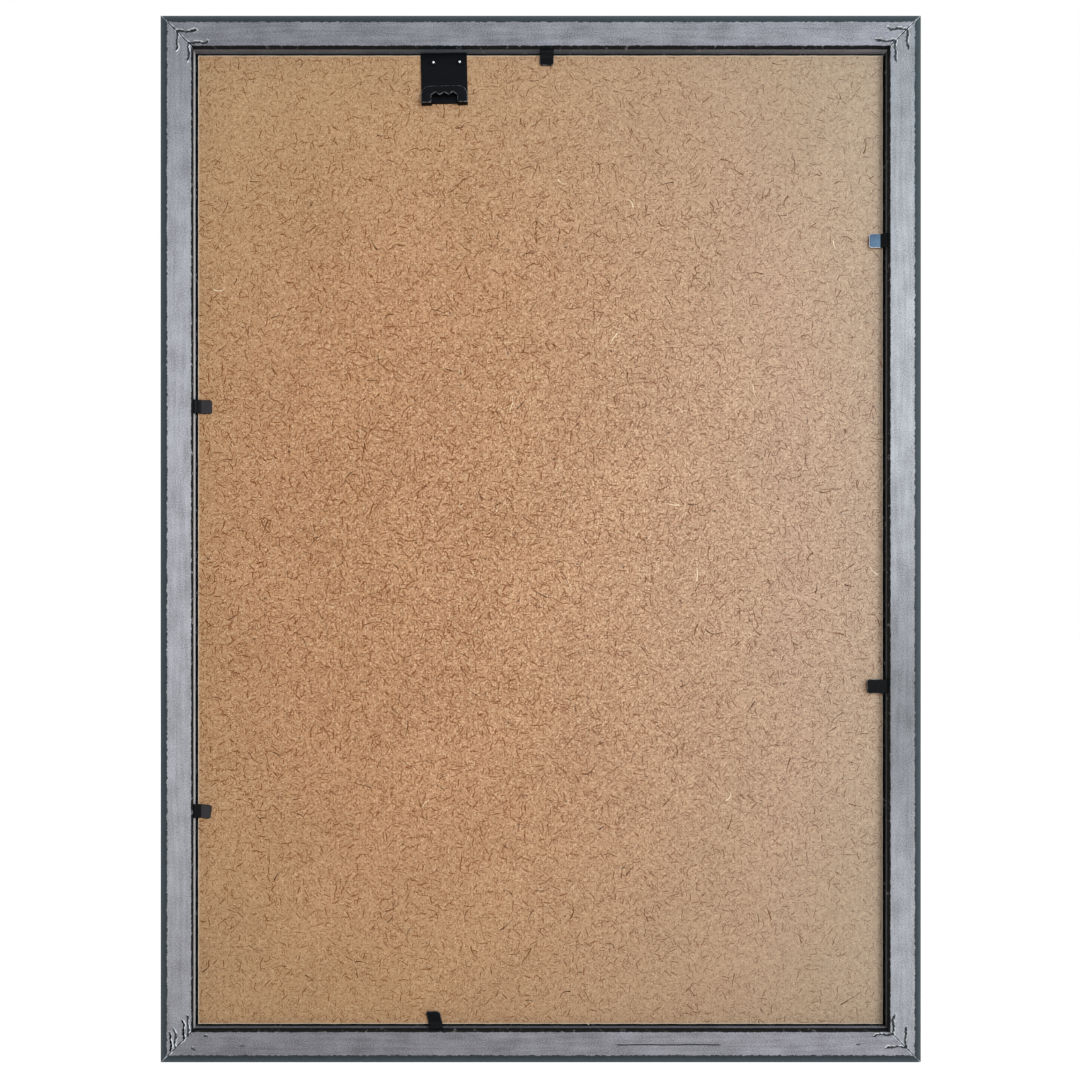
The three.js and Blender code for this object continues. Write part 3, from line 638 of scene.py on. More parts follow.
def hardboard():
    """Hot-pressed wood fibre. Each layer of fibres is one short crooked line to a cell, turned at random.
    Single fibres are too fine to show, so the finest lines are drawn as wide as a bundle of them."""
    BOARD_WARM, BOARD_PALE = "#a97c58", "#cb9a71"
    FIBRE_DARK, FIBRE_PALE, BARK = "#763c0c", "#e8c8a4", "#3a1c08"
    EDGE_PALE, EDGE_BAND, EDGE_AMOUNT = "#efdfc6", 0.7, 0.7
    WALL_SHADOW, WALL_SHADOW_WIDTH, WALL_SHADOW_AMOUNT = "#3c2e24", 3.0, 0.62
    SHEEN_TINT, SHEEN_AMOUNT, SHEEN_FROM, SHEEN_BEND = "#a8aaa4", 0.2, 90.0, 1.7
    OLIVE, OLIVE_AMOUNT, OLIVE_NEAR, OLIVE_FAR = "#b5ae86", 0.17, 120.0, 240.0
    COARSE_MIDDLE, COARSE_EDGE, COARSE_NEAR, COARSE_FAR = 1.9, 0.85, 40.0, 210.0
    CLOUD, FLECK, FLECK_WEIGHT, CROOK = 40.0, 1.7, 3.0, 1.4
    LAYER_SHIFT = Vector((37.7, 11.3, 0))
    FAINTNESS, FIBRE_RELIEF, RELIEF_HEIGHT = 1.2, 0.5, 0.05 * MM
    felt = (
        dict(spacing=1.05, length=1.3, width=0.32, share=0.7, colour=FIBRE_PALE, strength=0.75, crook=0.1),
        dict(spacing=0.95, length=1.4, width=0.3, share=0.75, colour=FIBRE_DARK, strength=1.0, crook=0.1),
        dict(spacing=1.3, length=2.0, width=0.34, share=0.7, colour=FIBRE_DARK, strength=1.15, crook=0.12),
        dict(spacing=3.2, length=4.2, width=0.42, share=0.6, colour=FIBRE_DARK, strength=1.4, crook=0.2),
        dict(spacing=5.0, length=1.2, width=0.6, share=0.15, colour=BARK, strength=0.8, crook=0.3),
    )
    half_size = (board_high - board_low) / 2 / MM
    material, add = new_material("pressed_hardboard")
    coords = add("TexCoord").outputs["Object"]
    local = add("Mapping", {
        "Vector": coords, "Location": board_middle, "Scale": (MM, MM, MM),
    }, vector_type="TEXTURE")
    x, _, z = add("SeparateXYZ", {0: local}).outputs
    flat = add("CombineXYZ", {0: x, 1: z})
    from_middle = add("VectorMath", {0: flat}, operation="LENGTH")

    # Ground under the felt: clouds and flecks, half of the painted sheen of one side, yellower far from the
    # middle
    cloud = add("TexNoise", {"Vector": flat, "Scale": 1 / CLOUD, "Detail": 4.0, "Roughness": 0.6})
    grain = add("TexNoise", {
        "Vector": local, "Scale": 1 / FLECK, "Detail": 5.0, "Roughness": 0.82, "Distortion": 0.6,
    })
    tone = add("Math", {0: grain, 1: FLECK_WEIGHT, 2: cloud}, operation="MULTIPLY_ADD")
    tone = add("MapRange", {"Value": tone, "From Min": 1.4, "From Max": 2.6})
    colour = add("Mix", {0: tone, 6: linear(BOARD_WARM), 7: linear(BOARD_PALE)}, data_type="RGBA")
    toward_sheen = add("MapRange", {"Value": x, "From Min": SHEEN_FROM, "From Max": -half_size.x})
    bent = add("Math", {0: toward_sheen, 1: SHEEN_BEND}, operation="POWER")
    painted_sheen = add("Math", {0: bent, 1: SHEEN_AMOUNT}, operation="MULTIPLY")
    yellowed = add("MapRange", {
        "Value": from_middle, "From Min": OLIVE_NEAR, "From Max": OLIVE_FAR, "To Max": OLIVE_AMOUNT,
    })
    for amount, tint in ((painted_sheen, SHEEN_TINT), (yellowed, OLIVE)):
        colour = add("Mix", {0: amount, 6: colour, 7: linear(tint)}, data_type="RGBA")

    # Felt of fibres, stronger towards the middle of the board
    coarse = add("MapRange", {
        "Value": from_middle, "From Min": COARSE_NEAR, "From Max": COARSE_FAR,
        "To Min": COARSE_MIDDLE, "To Max": COARSE_EDGE,
    })
    bend = add("TexNoise", {
        "Vector": flat, "Scale": 1 / CROOK, "Detail": 1.0,
    }, noise_dimensions="2D").outputs["Color"]
    relief = grain
    for number, layer in enumerate(felt):
        moved = add("VectorMath", {0: flat, 1: LAYER_SHIFT * number}, operation="ADD")
        crooked = add("VectorMath", {
            0: bend, 1: (2 * layer["crook"], 2 * layer["crook"], 0), 2: moved,
        }, operation="MULTIPLY_ADD")
        cell = add("TexVoronoi", {
            "Vector": crooked, "Scale": 1 / layer["spacing"],
        }, voronoi_dimensions="2D").outputs
        chance, turn, darkness = add("SeparateXYZ", {0: cell["Color"]}).outputs
        offset = add("VectorMath", {0: crooked, 1: cell["Position"]}, operation="SUBTRACT")
        angle = add("Math", {0: turn, 1: 2 * math.pi}, operation="MULTIPLY")
        turned = add("VectorRotate", {"Vector": offset, "Angle": angle}, rotation_type="Z_AXIS")
        size = add("VectorMath", {0: turned}, operation="ABSOLUTE")
        lengthways, sideways, _ = add("SeparateXYZ", {0: size}).outputs
        in_length = add("MapRange", {
            "Value": lengthways, "From Min": 0.3 * layer["length"], "From Max": 0.5 * layer["length"],
            "To Min": 1.0, "To Max": 0.0,
        })
        in_width = add("MapRange", {
            "Value": sideways, "From Min": 0.2 * layer["width"], "From Max": 0.6 * layer["width"],
            "To Min": 1.0, "To Max": 0.0,
        })
        present = add("Math", {0: chance, 1: layer["share"]}, operation="LESS_THAN")
        faint = add("Math", {0: darkness, 1: FAINTNESS}, operation="POWER")
        weight = add("Math", {0: faint, 1: layer["strength"]}, operation="MULTIPLY")
        amount = in_length
        for factor in (in_width, present, weight, coarse):
            amount = add("Math", {0: amount, 1: factor}, operation="MULTIPLY")
        colour = add("Mix", {0: amount, 6: colour, 7: linear(layer["colour"])}, data_type="RGBA")
        relief = add("Math", {0: amount, 1: FIBRE_RELIEF, 2: relief}, operation="MULTIPLY_ADD")

    # Over the felt: the other half of the painted sheen, paler sawn edges, and a painted shadow by the wall
    # of that side
    far_x = add("Math", {0: x}, operation="ABSOLUTE")
    far_z = add("Math", {0: z}, operation="ABSOLUTE")
    edge_x = add("Math", {0: far_x, 1: half_size.x}, operation="SUBTRACT")
    edge_z = add("Math", {0: far_z, 1: half_size.z}, operation="SUBTRACT")
    edge = add("Math", {0: edge_x, 1: edge_z}, operation="MAXIMUM")
    sawn = add("MapRange", {
        "Value": edge, "From Min": -EDGE_BAND, "From Max": -0.5 * EDGE_BAND, "To Max": EDGE_AMOUNT,
    })
    wall_shadow = add("MapRange", {
        "Value": x, "From Min": WALL_SHADOW_WIDTH - half_size.x, "From Max": -half_size.x, "To Max": WALL_SHADOW_AMOUNT,
    })
    for amount, tint in ((painted_sheen, SHEEN_TINT), (sawn, EDGE_PALE), (wall_shadow, WALL_SHADOW)):
        colour = add("Mix", {0: amount, 6: colour, 7: linear(tint)}, data_type="RGBA")
    bump = add("Bump", {"Height": relief, "Distance": RELIEF_HEIGHT, "Strength": 0.6})
    roughness = add("MapRange", {"Value": grain, "To Min": 0.5, "To Max": 0.75})
    shader = add("BsdfPrincipled", {
        "Base Color": colour, "Roughness": roughness, "Specular IOR Level": 0.15, "Normal": bump,
    })
    add("OutputMaterial", {"Surface": shader})
    return material


def bark_and_splinters():
    """Single fibres of the board: brown bark and a few pale splinters, each its own tone."""
    BARK, BROWN, SPLINTER = "#381c0a", "#70421d", "#f0dcb8"
    VEIN, VEIN_WEIGHT, SPLINTER_FROM = 0.6, 0.5, 0.97
    material, add = new_material("bark_and_splinters")
    tone = add("Attribute", attribute_name="tone").outputs["Fac"]
    coords = add("TexCoord").outputs["Object"]
    vein = add("TexNoise", {"Vector": coords, "Scale": 1 / (VEIN * MM), "Detail": 3.0})
    brown = add("Math", {0: vein, 1: VEIN_WEIGHT, 2: tone}, operation="MULTIPLY_ADD")
    brown = add("MapRange", {"Value": brown, "From Min": 0.2, "From Max": 1.1})
    pale = add("Math", {0: tone, 1: SPLINTER_FROM}, operation="GREATER_THAN")
    dark = add("Mix", {0: brown, 6: linear(BARK), 7: linear(BROWN)}, data_type="RGBA")
    colour = add("Mix", {0: pale, 6: dark, 7: linear(SPLINTER)}, data_type="RGBA")
    shader = add("BsdfPrincipled", {"Base Color": colour, "Roughness": 0.7, "Specular IOR Level": 0.08})
    add("OutputMaterial", {"Surface": shader})
    return material


def fibre_scatter(material):
    """Scatters tapered, bent fibres flat on the outer face of a board, each with a tone of its own.
    They lie thinner towards the corners."""
    FIBRE_RADIUS, FIBRE_TIP = 0.05, 0.25
    FIBRE_BOWS = (0.1, -0.22, 0.45)
    THINNED_FROM, THINNED_TO, THINNED_SHARE = 130 * MM, 245 * MM, 0.25
    FACING_OUT = 0.95
    tree = bpy.data.node_groups.new("fibre_scatter", "GeometryNodeTree")
    tree.interface.new_socket("Geometry", in_out="INPUT", socket_type="NodeSocketGeometry")
    for name in ("Density", "Shortest", "Longest", "Narrowest", "Widest", "Thickness"):
        tree.interface.new_socket(name, in_out="INPUT", socket_type="NodeSocketFloat")
    tree.interface.new_socket("Geometry", in_out="OUTPUT", socket_type="NodeSocketGeometry")
    add = partial(add_node, tree, "")
    given = add("NodeGroupInput").outputs

    # Places on the outer face
    normal = add("GeometryNodeInputNormal")
    outwards = add("ShaderNodeSeparateXYZ", {0: normal}).outputs["Y"]
    outer = add("FunctionNodeCompare", {0: outwards, 1: FACING_OUT}, operation="GREATER_THAN")
    places = add("GeometryNodeDistributePointsOnFaces", {
        "Mesh": given["Geometry"], "Selection": outer, "Density": given["Density"], "Seed": 11,
    })
    from_middle = add("ShaderNodeVectorMath", {
        0: add("GeometryNodeInputPosition"), 1: board_middle,
    }, operation="DISTANCE")
    thinned = add("ShaderNodeMapRange", {
        "Value": from_middle, "From Min": THINNED_FROM, "From Max": THINNED_TO,
        "To Min": 1.0, "To Max": THINNED_SHARE,
    })
    kept = add("FunctionNodeRandomValue", {"Probability": thinned, "Seed": 8}, data_type="BOOLEAN")

    # One fibre for each bow, one unit long
    along = add("GeometryNodeSplineParameter").outputs["Factor"]
    taper = add("ShaderNodeMapRange", {"Value": along, "To Min": 1.0, "To Max": FIBRE_TIP})
    ring = add("GeometryNodeCurvePrimitiveCircle", {"Resolution": 6, "Radius": FIBRE_RADIUS})
    fibres = add("GeometryNodeJoinGeometry")
    for bow in FIBRE_BOWS:
        line = add("GeometryNodeCurveQuadraticBezier", {
            "Resolution": 8, "Start": (-0.5, 0, 0), "Middle": (0.1, bow, 0), "End": (0.5, 0, 0),
        })
        strand = add("GeometryNodeCurveToMesh", {
            "Curve": line, "Profile Curve": ring, "Scale": taper, "Fill Caps": True,
        })
        single = add("GeometryNodeGeometryToInstance", {0: strand})
        tree.links.new(single.outputs[0], fibres.inputs[0])

    # Size, turn, kind and tone of each fibre
    size = add("FunctionNodeRandomValue", {
        2: given["Shortest"], 3: given["Longest"], "Seed": 3,
    }, data_type="FLOAT")
    width = add("FunctionNodeRandomValue", {
        2: given["Narrowest"], 3: given["Widest"], "Seed": 4,
    }, data_type="FLOAT")
    wide = add("ShaderNodeMath", {0: width, 1: 2 * FIBRE_RADIUS}, operation="DIVIDE")
    scale = add("ShaderNodeCombineXYZ", {0: size, 1: wide, 2: given["Thickness"]})
    spin = add("FunctionNodeRandomValue", {2: 0.0, 3: 2 * math.pi, "Seed": 5}, data_type="FLOAT")
    turn = add("ShaderNodeCombineXYZ", {0: math.pi / 2, 1: spin})
    kind = add("FunctionNodeRandomValue", {4: 0, 5: len(FIBRE_BOWS) - 1, "Seed": 7}, data_type="INT")
    tone = add("FunctionNodeRandomValue", {2: 0.0, 3: 1.0, "Seed": 6}, data_type="FLOAT")
    strands = add("GeometryNodeInstanceOnPoints", {
        "Points": places, "Selection": kept, "Instance": fibres, "Pick Instance": True,
        "Instance Index": kind, "Rotation": turn, "Scale": scale,
    })
    toned = add("GeometryNodeStoreNamedAttribute", {
        "Geometry": strands, "Name": "tone", "Value": tone,
    }, data_type="FLOAT", domain="INSTANCE")
    real = add("GeometryNodeRealizeInstances", {"Geometry": toned})
    dressed = add("GeometryNodeSetMaterial", {"Geometry": real, "Material": material})
    joined = add("GeometryNodeJoinGeometry", {"Geometry": dressed})
    tree.links.new(given["Geometry"], joined.inputs["Geometry"])
    add("NodeGroupOutput", {"Geometry": joined})
    return tree


def grown(piece, tree, **values):
    """The piece with a plain mesh in place of what the tree makes of it. Values go to the named inputs."""
    modifier = piece.modifiers.new("grow", "NODES")
    modifier.node_group = tree
    for name, value in values.items():
        modifier[tree.interface.items_tree[name].identifier] = value
    graph = bpy.context.evaluated_depsgraph_get()
    mesh = bpy.data.meshes.new_from_object(piece.evaluated_get(graph))
    piece.modifiers.remove(modifier)
    piece.data = mesh
    return piece


board = new_piece("hardboard_back", board_mesh(), hardboard())
grown(board, fibre_scatter(bark_and_splinters()),
      Density=5200.0, Shortest=1.6 * MM, Longest=7.5 * MM,
      Narrowest=0.25 * MM, Widest=0.55 * MM, Thickness=1.0 * MM)
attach(board, "frame")
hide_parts("back_board")


# Hanger: one blank of steel sheet, 0.5 mm thick, lacquered black. Its upper edge is hooked over the board,
# and a bridge with a saw edge is pressed out below, whose raised edges are rubbed through to the steel.
HANGER_HALF = 10.0
HANGER_SHEET = 0.5
HANGER_TILT = math.radians(1.2)
HOOK_REACH = 2.5
HOOK_RADIUS = 0.25
BRIDGE_TOP = -15.1
BRIDGE_RISE = 2.2
BRIDGE_SHOULDER = 3.9
OPENING_HALF = 5.6
NOTCH_LINE = -17.8
TOOTH_LINE = -19.1
TONGUE_SHADE_TOP = -16.6
TONGUE_END = -21.6
LEG_END = -22.2
NOTCHES = 3
EDGE_ROUND = 0.25
SPARE_HOLE_PLACE = (6.7, -3.9)
SPARE_HOLE_RADIUS = 0.45
SPARE_HOLE_FLOOR = 0.1
hanger_place = Matrix.Rotation(HANGER_TILT, 4, "Y") @ Matrix.Translation(
    Vector((0, -BRIDGE_RISE - HANGER_SHEET / 2, -NOTCH_LINE)) * MM)


def extruded(outline, low, high, rounded=None):
    """A closed body in mm from an outline in (x, z), between two levels of y. Front edges are rounded."""
    body = bmesh.new()
    face = body.faces.new([body.verts.new((x, low, z)) for x, z in outline])
    for part in bmesh.ops.extrude_face_region(body, geom=[face])["geom"]:
        if isinstance(part, bmesh.types.BMVert):
            part.co.y = high
    bmesh.ops.recalc_face_normals(body, faces=body.faces)
    if rounded:
        front = [e for e in body.edges if all(abs(v.co.y - high) < 1e-6 for v in e.verts)]
        bmesh.ops.bevel(body, geom=front, offset=rounded, segments=3, profile=0.5,
                        affect="EDGES", clamp_overlap=True, material=1)
    mesh = bpy.data.meshes.new("hanger_blank")
    body.to_mesh(mesh)
    body.free()
    return mesh


def combine(mesh, tools):
    """The mesh after adding or cutting away each tool, given as (operation, mesh)."""
    base = bpy.data.objects.new("work", mesh)
    bpy.context.scene.collection.objects.link(base)
    helpers = []
    for operation, tool in tools:
        helper = bpy.data.objects.new("tool", tool)
        bpy.context.scene.collection.objects.link(helper)
        helpers.append(helper)
        step = base.modifiers.new(operation, "BOOLEAN")
        step.operation = operation
        step.solver = "EXACT"
        step.object = helper
    graph = bpy.context.evaluated_depsgraph_get()
    result = bpy.data.meshes.new_from_object(base.evaluated_get(graph))
    for thing in [base] + helpers:
        bpy.data.objects.remove(thing)
    return result


def arch(inset, foot):
    """Outside of the bridge from its right foot over both shoulders to its left foot."""
    half = HANGER_HALF - inset
    radius = BRIDGE_SHOULDER - inset
    level = BRIDGE_TOP - BRIDGE_SHOULDER
    right = arc((half - radius, level), (radius, radius), 0, 90, 10)
    left = arc((radius - half, level), (radius, radius), 90, 180, 10)
    return [(half, foot), (half, level)] + right + [(radius - half, level + radius)] + left + [(-half, foot)]


def saw_edge():
    """Tooth and notch points from left to right."""
    steps = 2 * NOTCHES
    levels = (TOOTH_LINE, NOTCH_LINE)
    return [(OPENING_HALF * (2 * i / steps - 1), levels[i % 2]) for i in range(steps + 1)]


def hook_section():
    """Side view of the plate with its hook, as (z, y) points: outside first, then back along the inside."""
    outer = HOOK_RADIUS + HANGER_SHEET
    centre = (-HOOK_RADIUS, -HOOK_RADIUS)
    plate_end = BRIDGE_TOP - BRIDGE_SHOULDER
    points = [(HANGER_SHEET, -HOOK_REACH), (HANGER_SHEET, -HOOK_RADIUS)]
    points += arc(centre, (outer, outer), 0, 90, 6)
    points += [(plate_end, HANGER_SHEET), (plate_end, 0), (-HOOK_RADIUS, 0)]
    points += arc(centre, (HOOK_RADIUS, HOOK_RADIUS), 90, 0, 6)
    return points + [(0, -HOOK_REACH)]


def hanger_mesh():
    """The pressed blank in mm, moved to its place."""
    plate = extruded(hook_section(), -HANGER_HALF, HANGER_HALF)
    plate.transform(Matrix(((0, 1, 0, 0), (0, 0, 1, 0), (1, 0, 0, 0), (0, 0, 0, 1))))
    hoop = arch(0, LEG_END) + [(-OPENING_HALF, LEG_END)] + saw_edge() + [(OPENING_HALF, LEG_END)]
    inner_wall = OPENING_HALF + HANGER_SHEET
    foot = LEG_END + HANGER_SHEET
    channel = arch(HANGER_SHEET, foot) + [
        (-inner_wall, foot), (-inner_wall, TOOTH_LINE), (inner_wall, TOOTH_LINE), (inner_wall, foot),
    ]
    # The tongue runs up under the bridge past the saw edge: that upper part is a dark sheet as painted shade
    # under the bridge
    tongue_half = OPENING_HALF + HANGER_SHEET / 2
    tongue = [
        (-tongue_half, TONGUE_END), (tongue_half, TONGUE_END),
        (tongue_half, TONGUE_SHADE_TOP), (-tongue_half, TONGUE_SHADE_TOP),
    ]
    window = arch(HANGER_SHEET / 2, LEG_END)
    spare_hole = arc(SPARE_HOLE_PLACE, (SPARE_HOLE_RADIUS, SPARE_HOLE_RADIUS), 0, 360, 16)
    bridge = combine(extruded(hoop, 0, BRIDGE_RISE + HANGER_SHEET, EDGE_ROUND), [
        ("DIFFERENCE", extruded(channel, -1, BRIDGE_RISE)),
    ])
    mesh = combine(plate, [
        ("DIFFERENCE", extruded(window, -HANGER_SHEET, 2 * HANGER_SHEET)),
        ("UNION", bridge),
        ("UNION", extruded(tongue, 0, HANGER_SHEET)),
        ("DIFFERENCE", extruded(spare_hole, SPARE_HOLE_FLOOR, 2 * HANGER_SHEET)),
    ])
    mesh.transform(hanger_place @ Matrix.Scale(MM, 4))
    smooth(mesh, 35)
    return mesh


def black_lacquer(name, dark, pale, roughness, gloss):
    """Stoved black lacquer on steel: deep and satin, with a faint orange peel and dull handling marks."""
    PEEL, PEEL_HEIGHT, MARKS = 0.9, 0.02 * MM, 5.0
    material, add = new_material(name)
    coords = add("TexCoord").outputs["Object"]
    peel = add("TexNoise", {"Vector": coords, "Scale": 1 / (PEEL * MM), "Detail": 2.0})
    marks = add("TexNoise", {"Vector": coords, "Scale": 1 / (MARKS * MM), "Detail": 6.0, "Roughness": 0.7})
    colour = add("Mix", {0: marks, 6: linear(dark), 7: linear(pale)}, data_type="RGBA")
    dulled = add("MapRange", {
        "Value": marks, "From Min": 0.3, "From Max": 0.7,
        "To Min": roughness - 0.08, "To Max": roughness + 0.12,
    })
    bump = add("Bump", {"Height": peel, "Distance": PEEL_HEIGHT})
    shader = add("BsdfPrincipled", {
        "Base Color": colour, "Roughness": dulled, "Specular IOR Level": gloss, "Normal": bump,
    })
    add("OutputMaterial", {"Surface": shader})
    return material


def rubbed_steel(name, steel, rubbed_from):
    """Lacquer rubbed thin on an edge: steel grey that breaks up along its length."""
    LACQUER = "#121315"
    RUB, RUB_FADE = 1.2, 0.2
    material, add = new_material(name)
    coords = add("TexCoord").outputs["Object"]
    rub = add("TexNoise", {"Vector": coords, "Scale": 1 / (RUB * MM), "Detail": 4.0})
    bare = add("MapRange", {"Value": rub, "From Min": rubbed_from, "From Max": rubbed_from + RUB_FADE})
    colour = add("Mix", {0: bare, 6: linear(LACQUER), 7: linear(steel)}, data_type="RGBA")
    shader = add("BsdfPrincipled", {
        "Base Color": colour, "Metallic": 0.5, "Roughness": 0.42, "Specular IOR Level": 0.3,
    })
    add("OutputMaterial", {"Surface": shader})
    return material


lacquer = black_lacquer("stoved_black_lacquer", "#050507", "#0a0a0e", 0.42, 0.07)
rubbed_edge = rubbed_steel("lacquer_rubbed_to_steel", "#626467", 0.4)
hanger = new_piece("sawtooth_hanger", hanger_mesh(), lacquer, rubbed_edge)
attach(hanger, "frame")
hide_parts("hanger")


# Rivets: two small steel rivets hold the hanger to the board. Each head is a low dome, lacquered with
# the hanger, with a bright, polished middle where the closing tool pressed it.
RIVET_SIDES = 32
RIVET_SHANK = 0.8
RIVET_HEAD = 0.6
RIVET_RIM = 0.12
RIVET_DOME = 0.4
RIVET_BRIGHT = 0.54
RIVET_BUTTON = 0.2


def rivet_mesh(node_name):
    """A domed head and shank turned about the rivet's own axis, inside the box of its solid."""
    low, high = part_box(node_name)
    axis = (low + high) / 2 / MM
    head_radius = (high.x - low.x) / 2 / MM
    seat = high.y / MM - RIVET_HEAD
    rim = seat + RIVET_RIM
    foot = high.y / MM - RIVET_BUTTON
    button = [(RIVET_BRIGHT, foot)] + arc((0, foot), (RIVET_BRIGHT, RIVET_BUTTON), 0, 75, 5)
    profile = [(RIVET_SHANK, low.y / MM), (RIVET_SHANK, seat), (head_radius, seat), (head_radius, rim)]
    profile += arc((0, rim), (head_radius, RIVET_DOME), 0, 60, 6) + button
    radii, levels = np.array(profile).T
    angles = np.linspace(0, 2 * math.pi, RIVET_SIDES, endpoint=False)
    mesh = ring_mesh(node_name, np.stack([
        np.outer(radii, np.cos(angles)) + axis.x,
        np.repeat(levels[:, None], RIVET_SIDES, axis=1),
        np.outer(radii, np.sin(angles)) + axis.z,
    ], axis=2) * MM)
    bright_faces = (len(button) - 1) * RIVET_SIDES
    kinds = np.zeros(len(mesh.polygons), dtype=np.int32)
    kinds[-2 - bright_faces:-2] = 1
    kinds[-1] = 1
    mesh.polygons.foreach_set("material_index", kinds)
    smooth(mesh, 40)
    return mesh


def polished_steel():
    """Polished rivet end: bright steel with fine turning marks."""
    STEEL, STEEL_BRIGHT, TURNING = "#b4b7bb", "#e2e4e6", 0.3
    material, add = new_material("polished_rivet_steel")
    coords = add("TexCoord").outputs["Object"]
    lines = add("TexNoise", {"Vector": coords, "Scale": 1 / (TURNING * MM), "Detail": 2.0})
    colour = add("Mix", {0: lines, 6: linear(STEEL), 7: linear(STEEL_BRIGHT)}, data_type="RGBA")
    roughness = add("MapRange", {"Value": lines, "To Min": 0.15, "To Max": 0.35})
    shader = add("BsdfPrincipled", {"Base Color": colour, "Metallic": 1.0, "Roughness": roughness})
    add("OutputMaterial", {"Surface": shader})
    return material


rivet_bright = polished_steel()
for hand in ("right", "left"):
    node_name = f"hanger_rivet_{hand}"
    rivet = new_piece(f"rivet_{hand}", rivet_mesh(node_name), lacquer, rivet_bright)
    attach(rivet, "frame")
    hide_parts(node_name)


# Tabs: six strips of blackened spring steel driven into the rebate wall. Each is bent down by hand over
# the board, so they slant and stand off it differently. Each can be bent up again to open the frame, but
# the strips here are built fixed in the bend they have.
# Their bends stay dull black. Two tips are satin and greyer as a painted sheen, and one is blue as a
# painted reflection of the sky, with a bare bright rim.
TAB_HALF = 3.0
TAB_THICKNESS = 0.5
TAB_LENGTH = 15.4
TAB_ROOT_HEIGHT = 2.2
TAB_ROOT_START = -0.6
TAB_PIVOT = 0.6
TAB_SLOPE_START = 0.3
TAB_SLOPE_END = 3.0
TAB_TIP_RADIUS = 0.9
TAB_EDGE_ROUND = 0.15
TAB_EDGE_SHARP = math.radians(60)
TAB_COLUMNS = 12
TAB_SLOPE_STEPS = 14
TAB_FLAT_STEPS = 8
BEND_FINISH, RIM_FINISH, TIP_FINISH = 0, 1, 2
tab_bends = {
    "top": dict(side="top", reach=6.1, lift=0.4, lean=0, tip=0, finish="dull"),
    "right_upper": dict(side="right", reach=7.6, lift=0.4, lean=0, tip=0, finish="satin"),
    "right_lower": dict(side="right", reach=7.2, lift=0.4, lean=7, tip=-7, finish="satin"),
    "bottom": dict(side="bottom", reach=7.2, lift=0.6, lean=-14, tip=0, finish="dull"),
    "left_lower": dict(side="left", reach=8.9, lift=1.5, lean=0, tip=0, finish="dull"),
    "left_upper": dict(side="left", reach=7.8, lift=0.9, lean=0, tip=0, finish="bright"),
}


def tab_side_view(reach, lift):
    """Middle line of the strip as (inwards, up) points in mm, from inside the wall to its flat."""
    drop = TAB_ROOT_HEIGHT - lift - TAB_THICKNESS / 2
    root = [(reach - TAB_LENGTH, 0.0)] + run((TAB_ROOT_START, 0), (TAB_SLOPE_START, 0), 4)
    ease = np.linspace(0, 1, TAB_SLOPE_STEPS + 1)[1:]
    slope_length = TAB_SLOPE_END - TAB_SLOPE_START
    slope = [(TAB_SLOPE_START + slope_length * t, -drop * t * t * (3 - 2 * t)) for t in ease]
    return np.array(root + slope), -drop


def tab_mesh(name, place, reach, lift, lean, tip):
    """One continuous bent strip with rounded corners at its tip."""
    line, level = tab_side_view(reach, lift)
    columns = np.linspace(-TAB_HALF, TAB_HALF, TAB_COLUMNS + 1)
    inset = np.maximum(np.abs(columns) - (TAB_HALF - TAB_TIP_RADIUS), 0)
    round_off = TAB_TIP_RADIUS - np.sqrt(np.maximum(TAB_TIP_RADIUS ** 2 - inset ** 2, 0))
    tips = reach + columns * math.tan(math.radians(tip)) - round_off
    shares = np.linspace(0, 1, TAB_FLAT_STEPS + 1)[1:]
    flat_in = TAB_SLOPE_END + shares[:, None] * (tips - TAB_SLOPE_END)
    inward = np.concatenate([np.repeat(line[:, :1], len(columns), axis=1), flat_in])
    up = np.concatenate([np.repeat(line[:, 1:], len(columns), axis=1), np.full(flat_in.shape, level)])
    heading = np.gradient(up, axis=0) / np.gradient(inward, axis=0)
    scale = TAB_THICKNESS / 2 / np.sqrt(1 + heading ** 2)
    sideways = columns + inward * math.tan(math.radians(lean))
    upper = np.stack([sideways, up + scale, -(inward - heading * scale)], axis=2)
    lower = np.stack([sideways, up - scale, -(inward + heading * scale)], axis=2)

    rows, count = inward.shape
    index = np.arange(rows * count).reshape(rows, count)
    on_flat = np.arange(rows - 1) >= len(line) - 1
    faces, kinds = [], []
    for base in (index, index + rows * count):
        quads = np.stack([base[:-1, :-1], base[1:, :-1], base[1:, 1:], base[:-1, 1:]], axis=2)
        faces += quads.reshape(-1, 4).tolist()
        kinds += np.repeat(np.where(on_flat, TIP_FINISH, BEND_FINISH), count - 1).tolist()
    rim = np.concatenate([index[0, :], index[1:, -1], index[-1, -2::-1], index[-2:0:-1, 0]])
    after = np.roll(rim, -1)
    faces += np.stack([rim, after, after + rows * count, rim + rows * count], axis=1).tolist()
    kinds += [BEND_FINISH] * len(rim)
    mesh = bpy.data.meshes.new(name)
    mesh.from_pydata(np.concatenate([upper, lower]).reshape(-1, 3).tolist(), [], faces)
    mesh.polygons.foreach_set("material_index", kinds)

    body = bmesh.new()
    body.from_mesh(mesh)
    bmesh.ops.recalc_face_normals(body, faces=body.faces)
    sharp = [e for e in body.edges if e.is_manifold and e.calc_face_angle() > TAB_EDGE_SHARP]
    bmesh.ops.bevel(body, geom=sharp, offset=TAB_EDGE_ROUND, segments=2, profile=0.5,
                    affect="EDGES", clamp_overlap=True, material=RIM_FINISH)
    for face in body.faces:
        if face.material_index == RIM_FINISH and -face.calc_center_median().z < TAB_SLOPE_END:
            face.material_index = BEND_FINISH
    body.to_mesh(mesh)
    body.free()
    mesh.transform(place @ Matrix.Scale(MM, 4))
    smooth(mesh, 35)
    return mesh


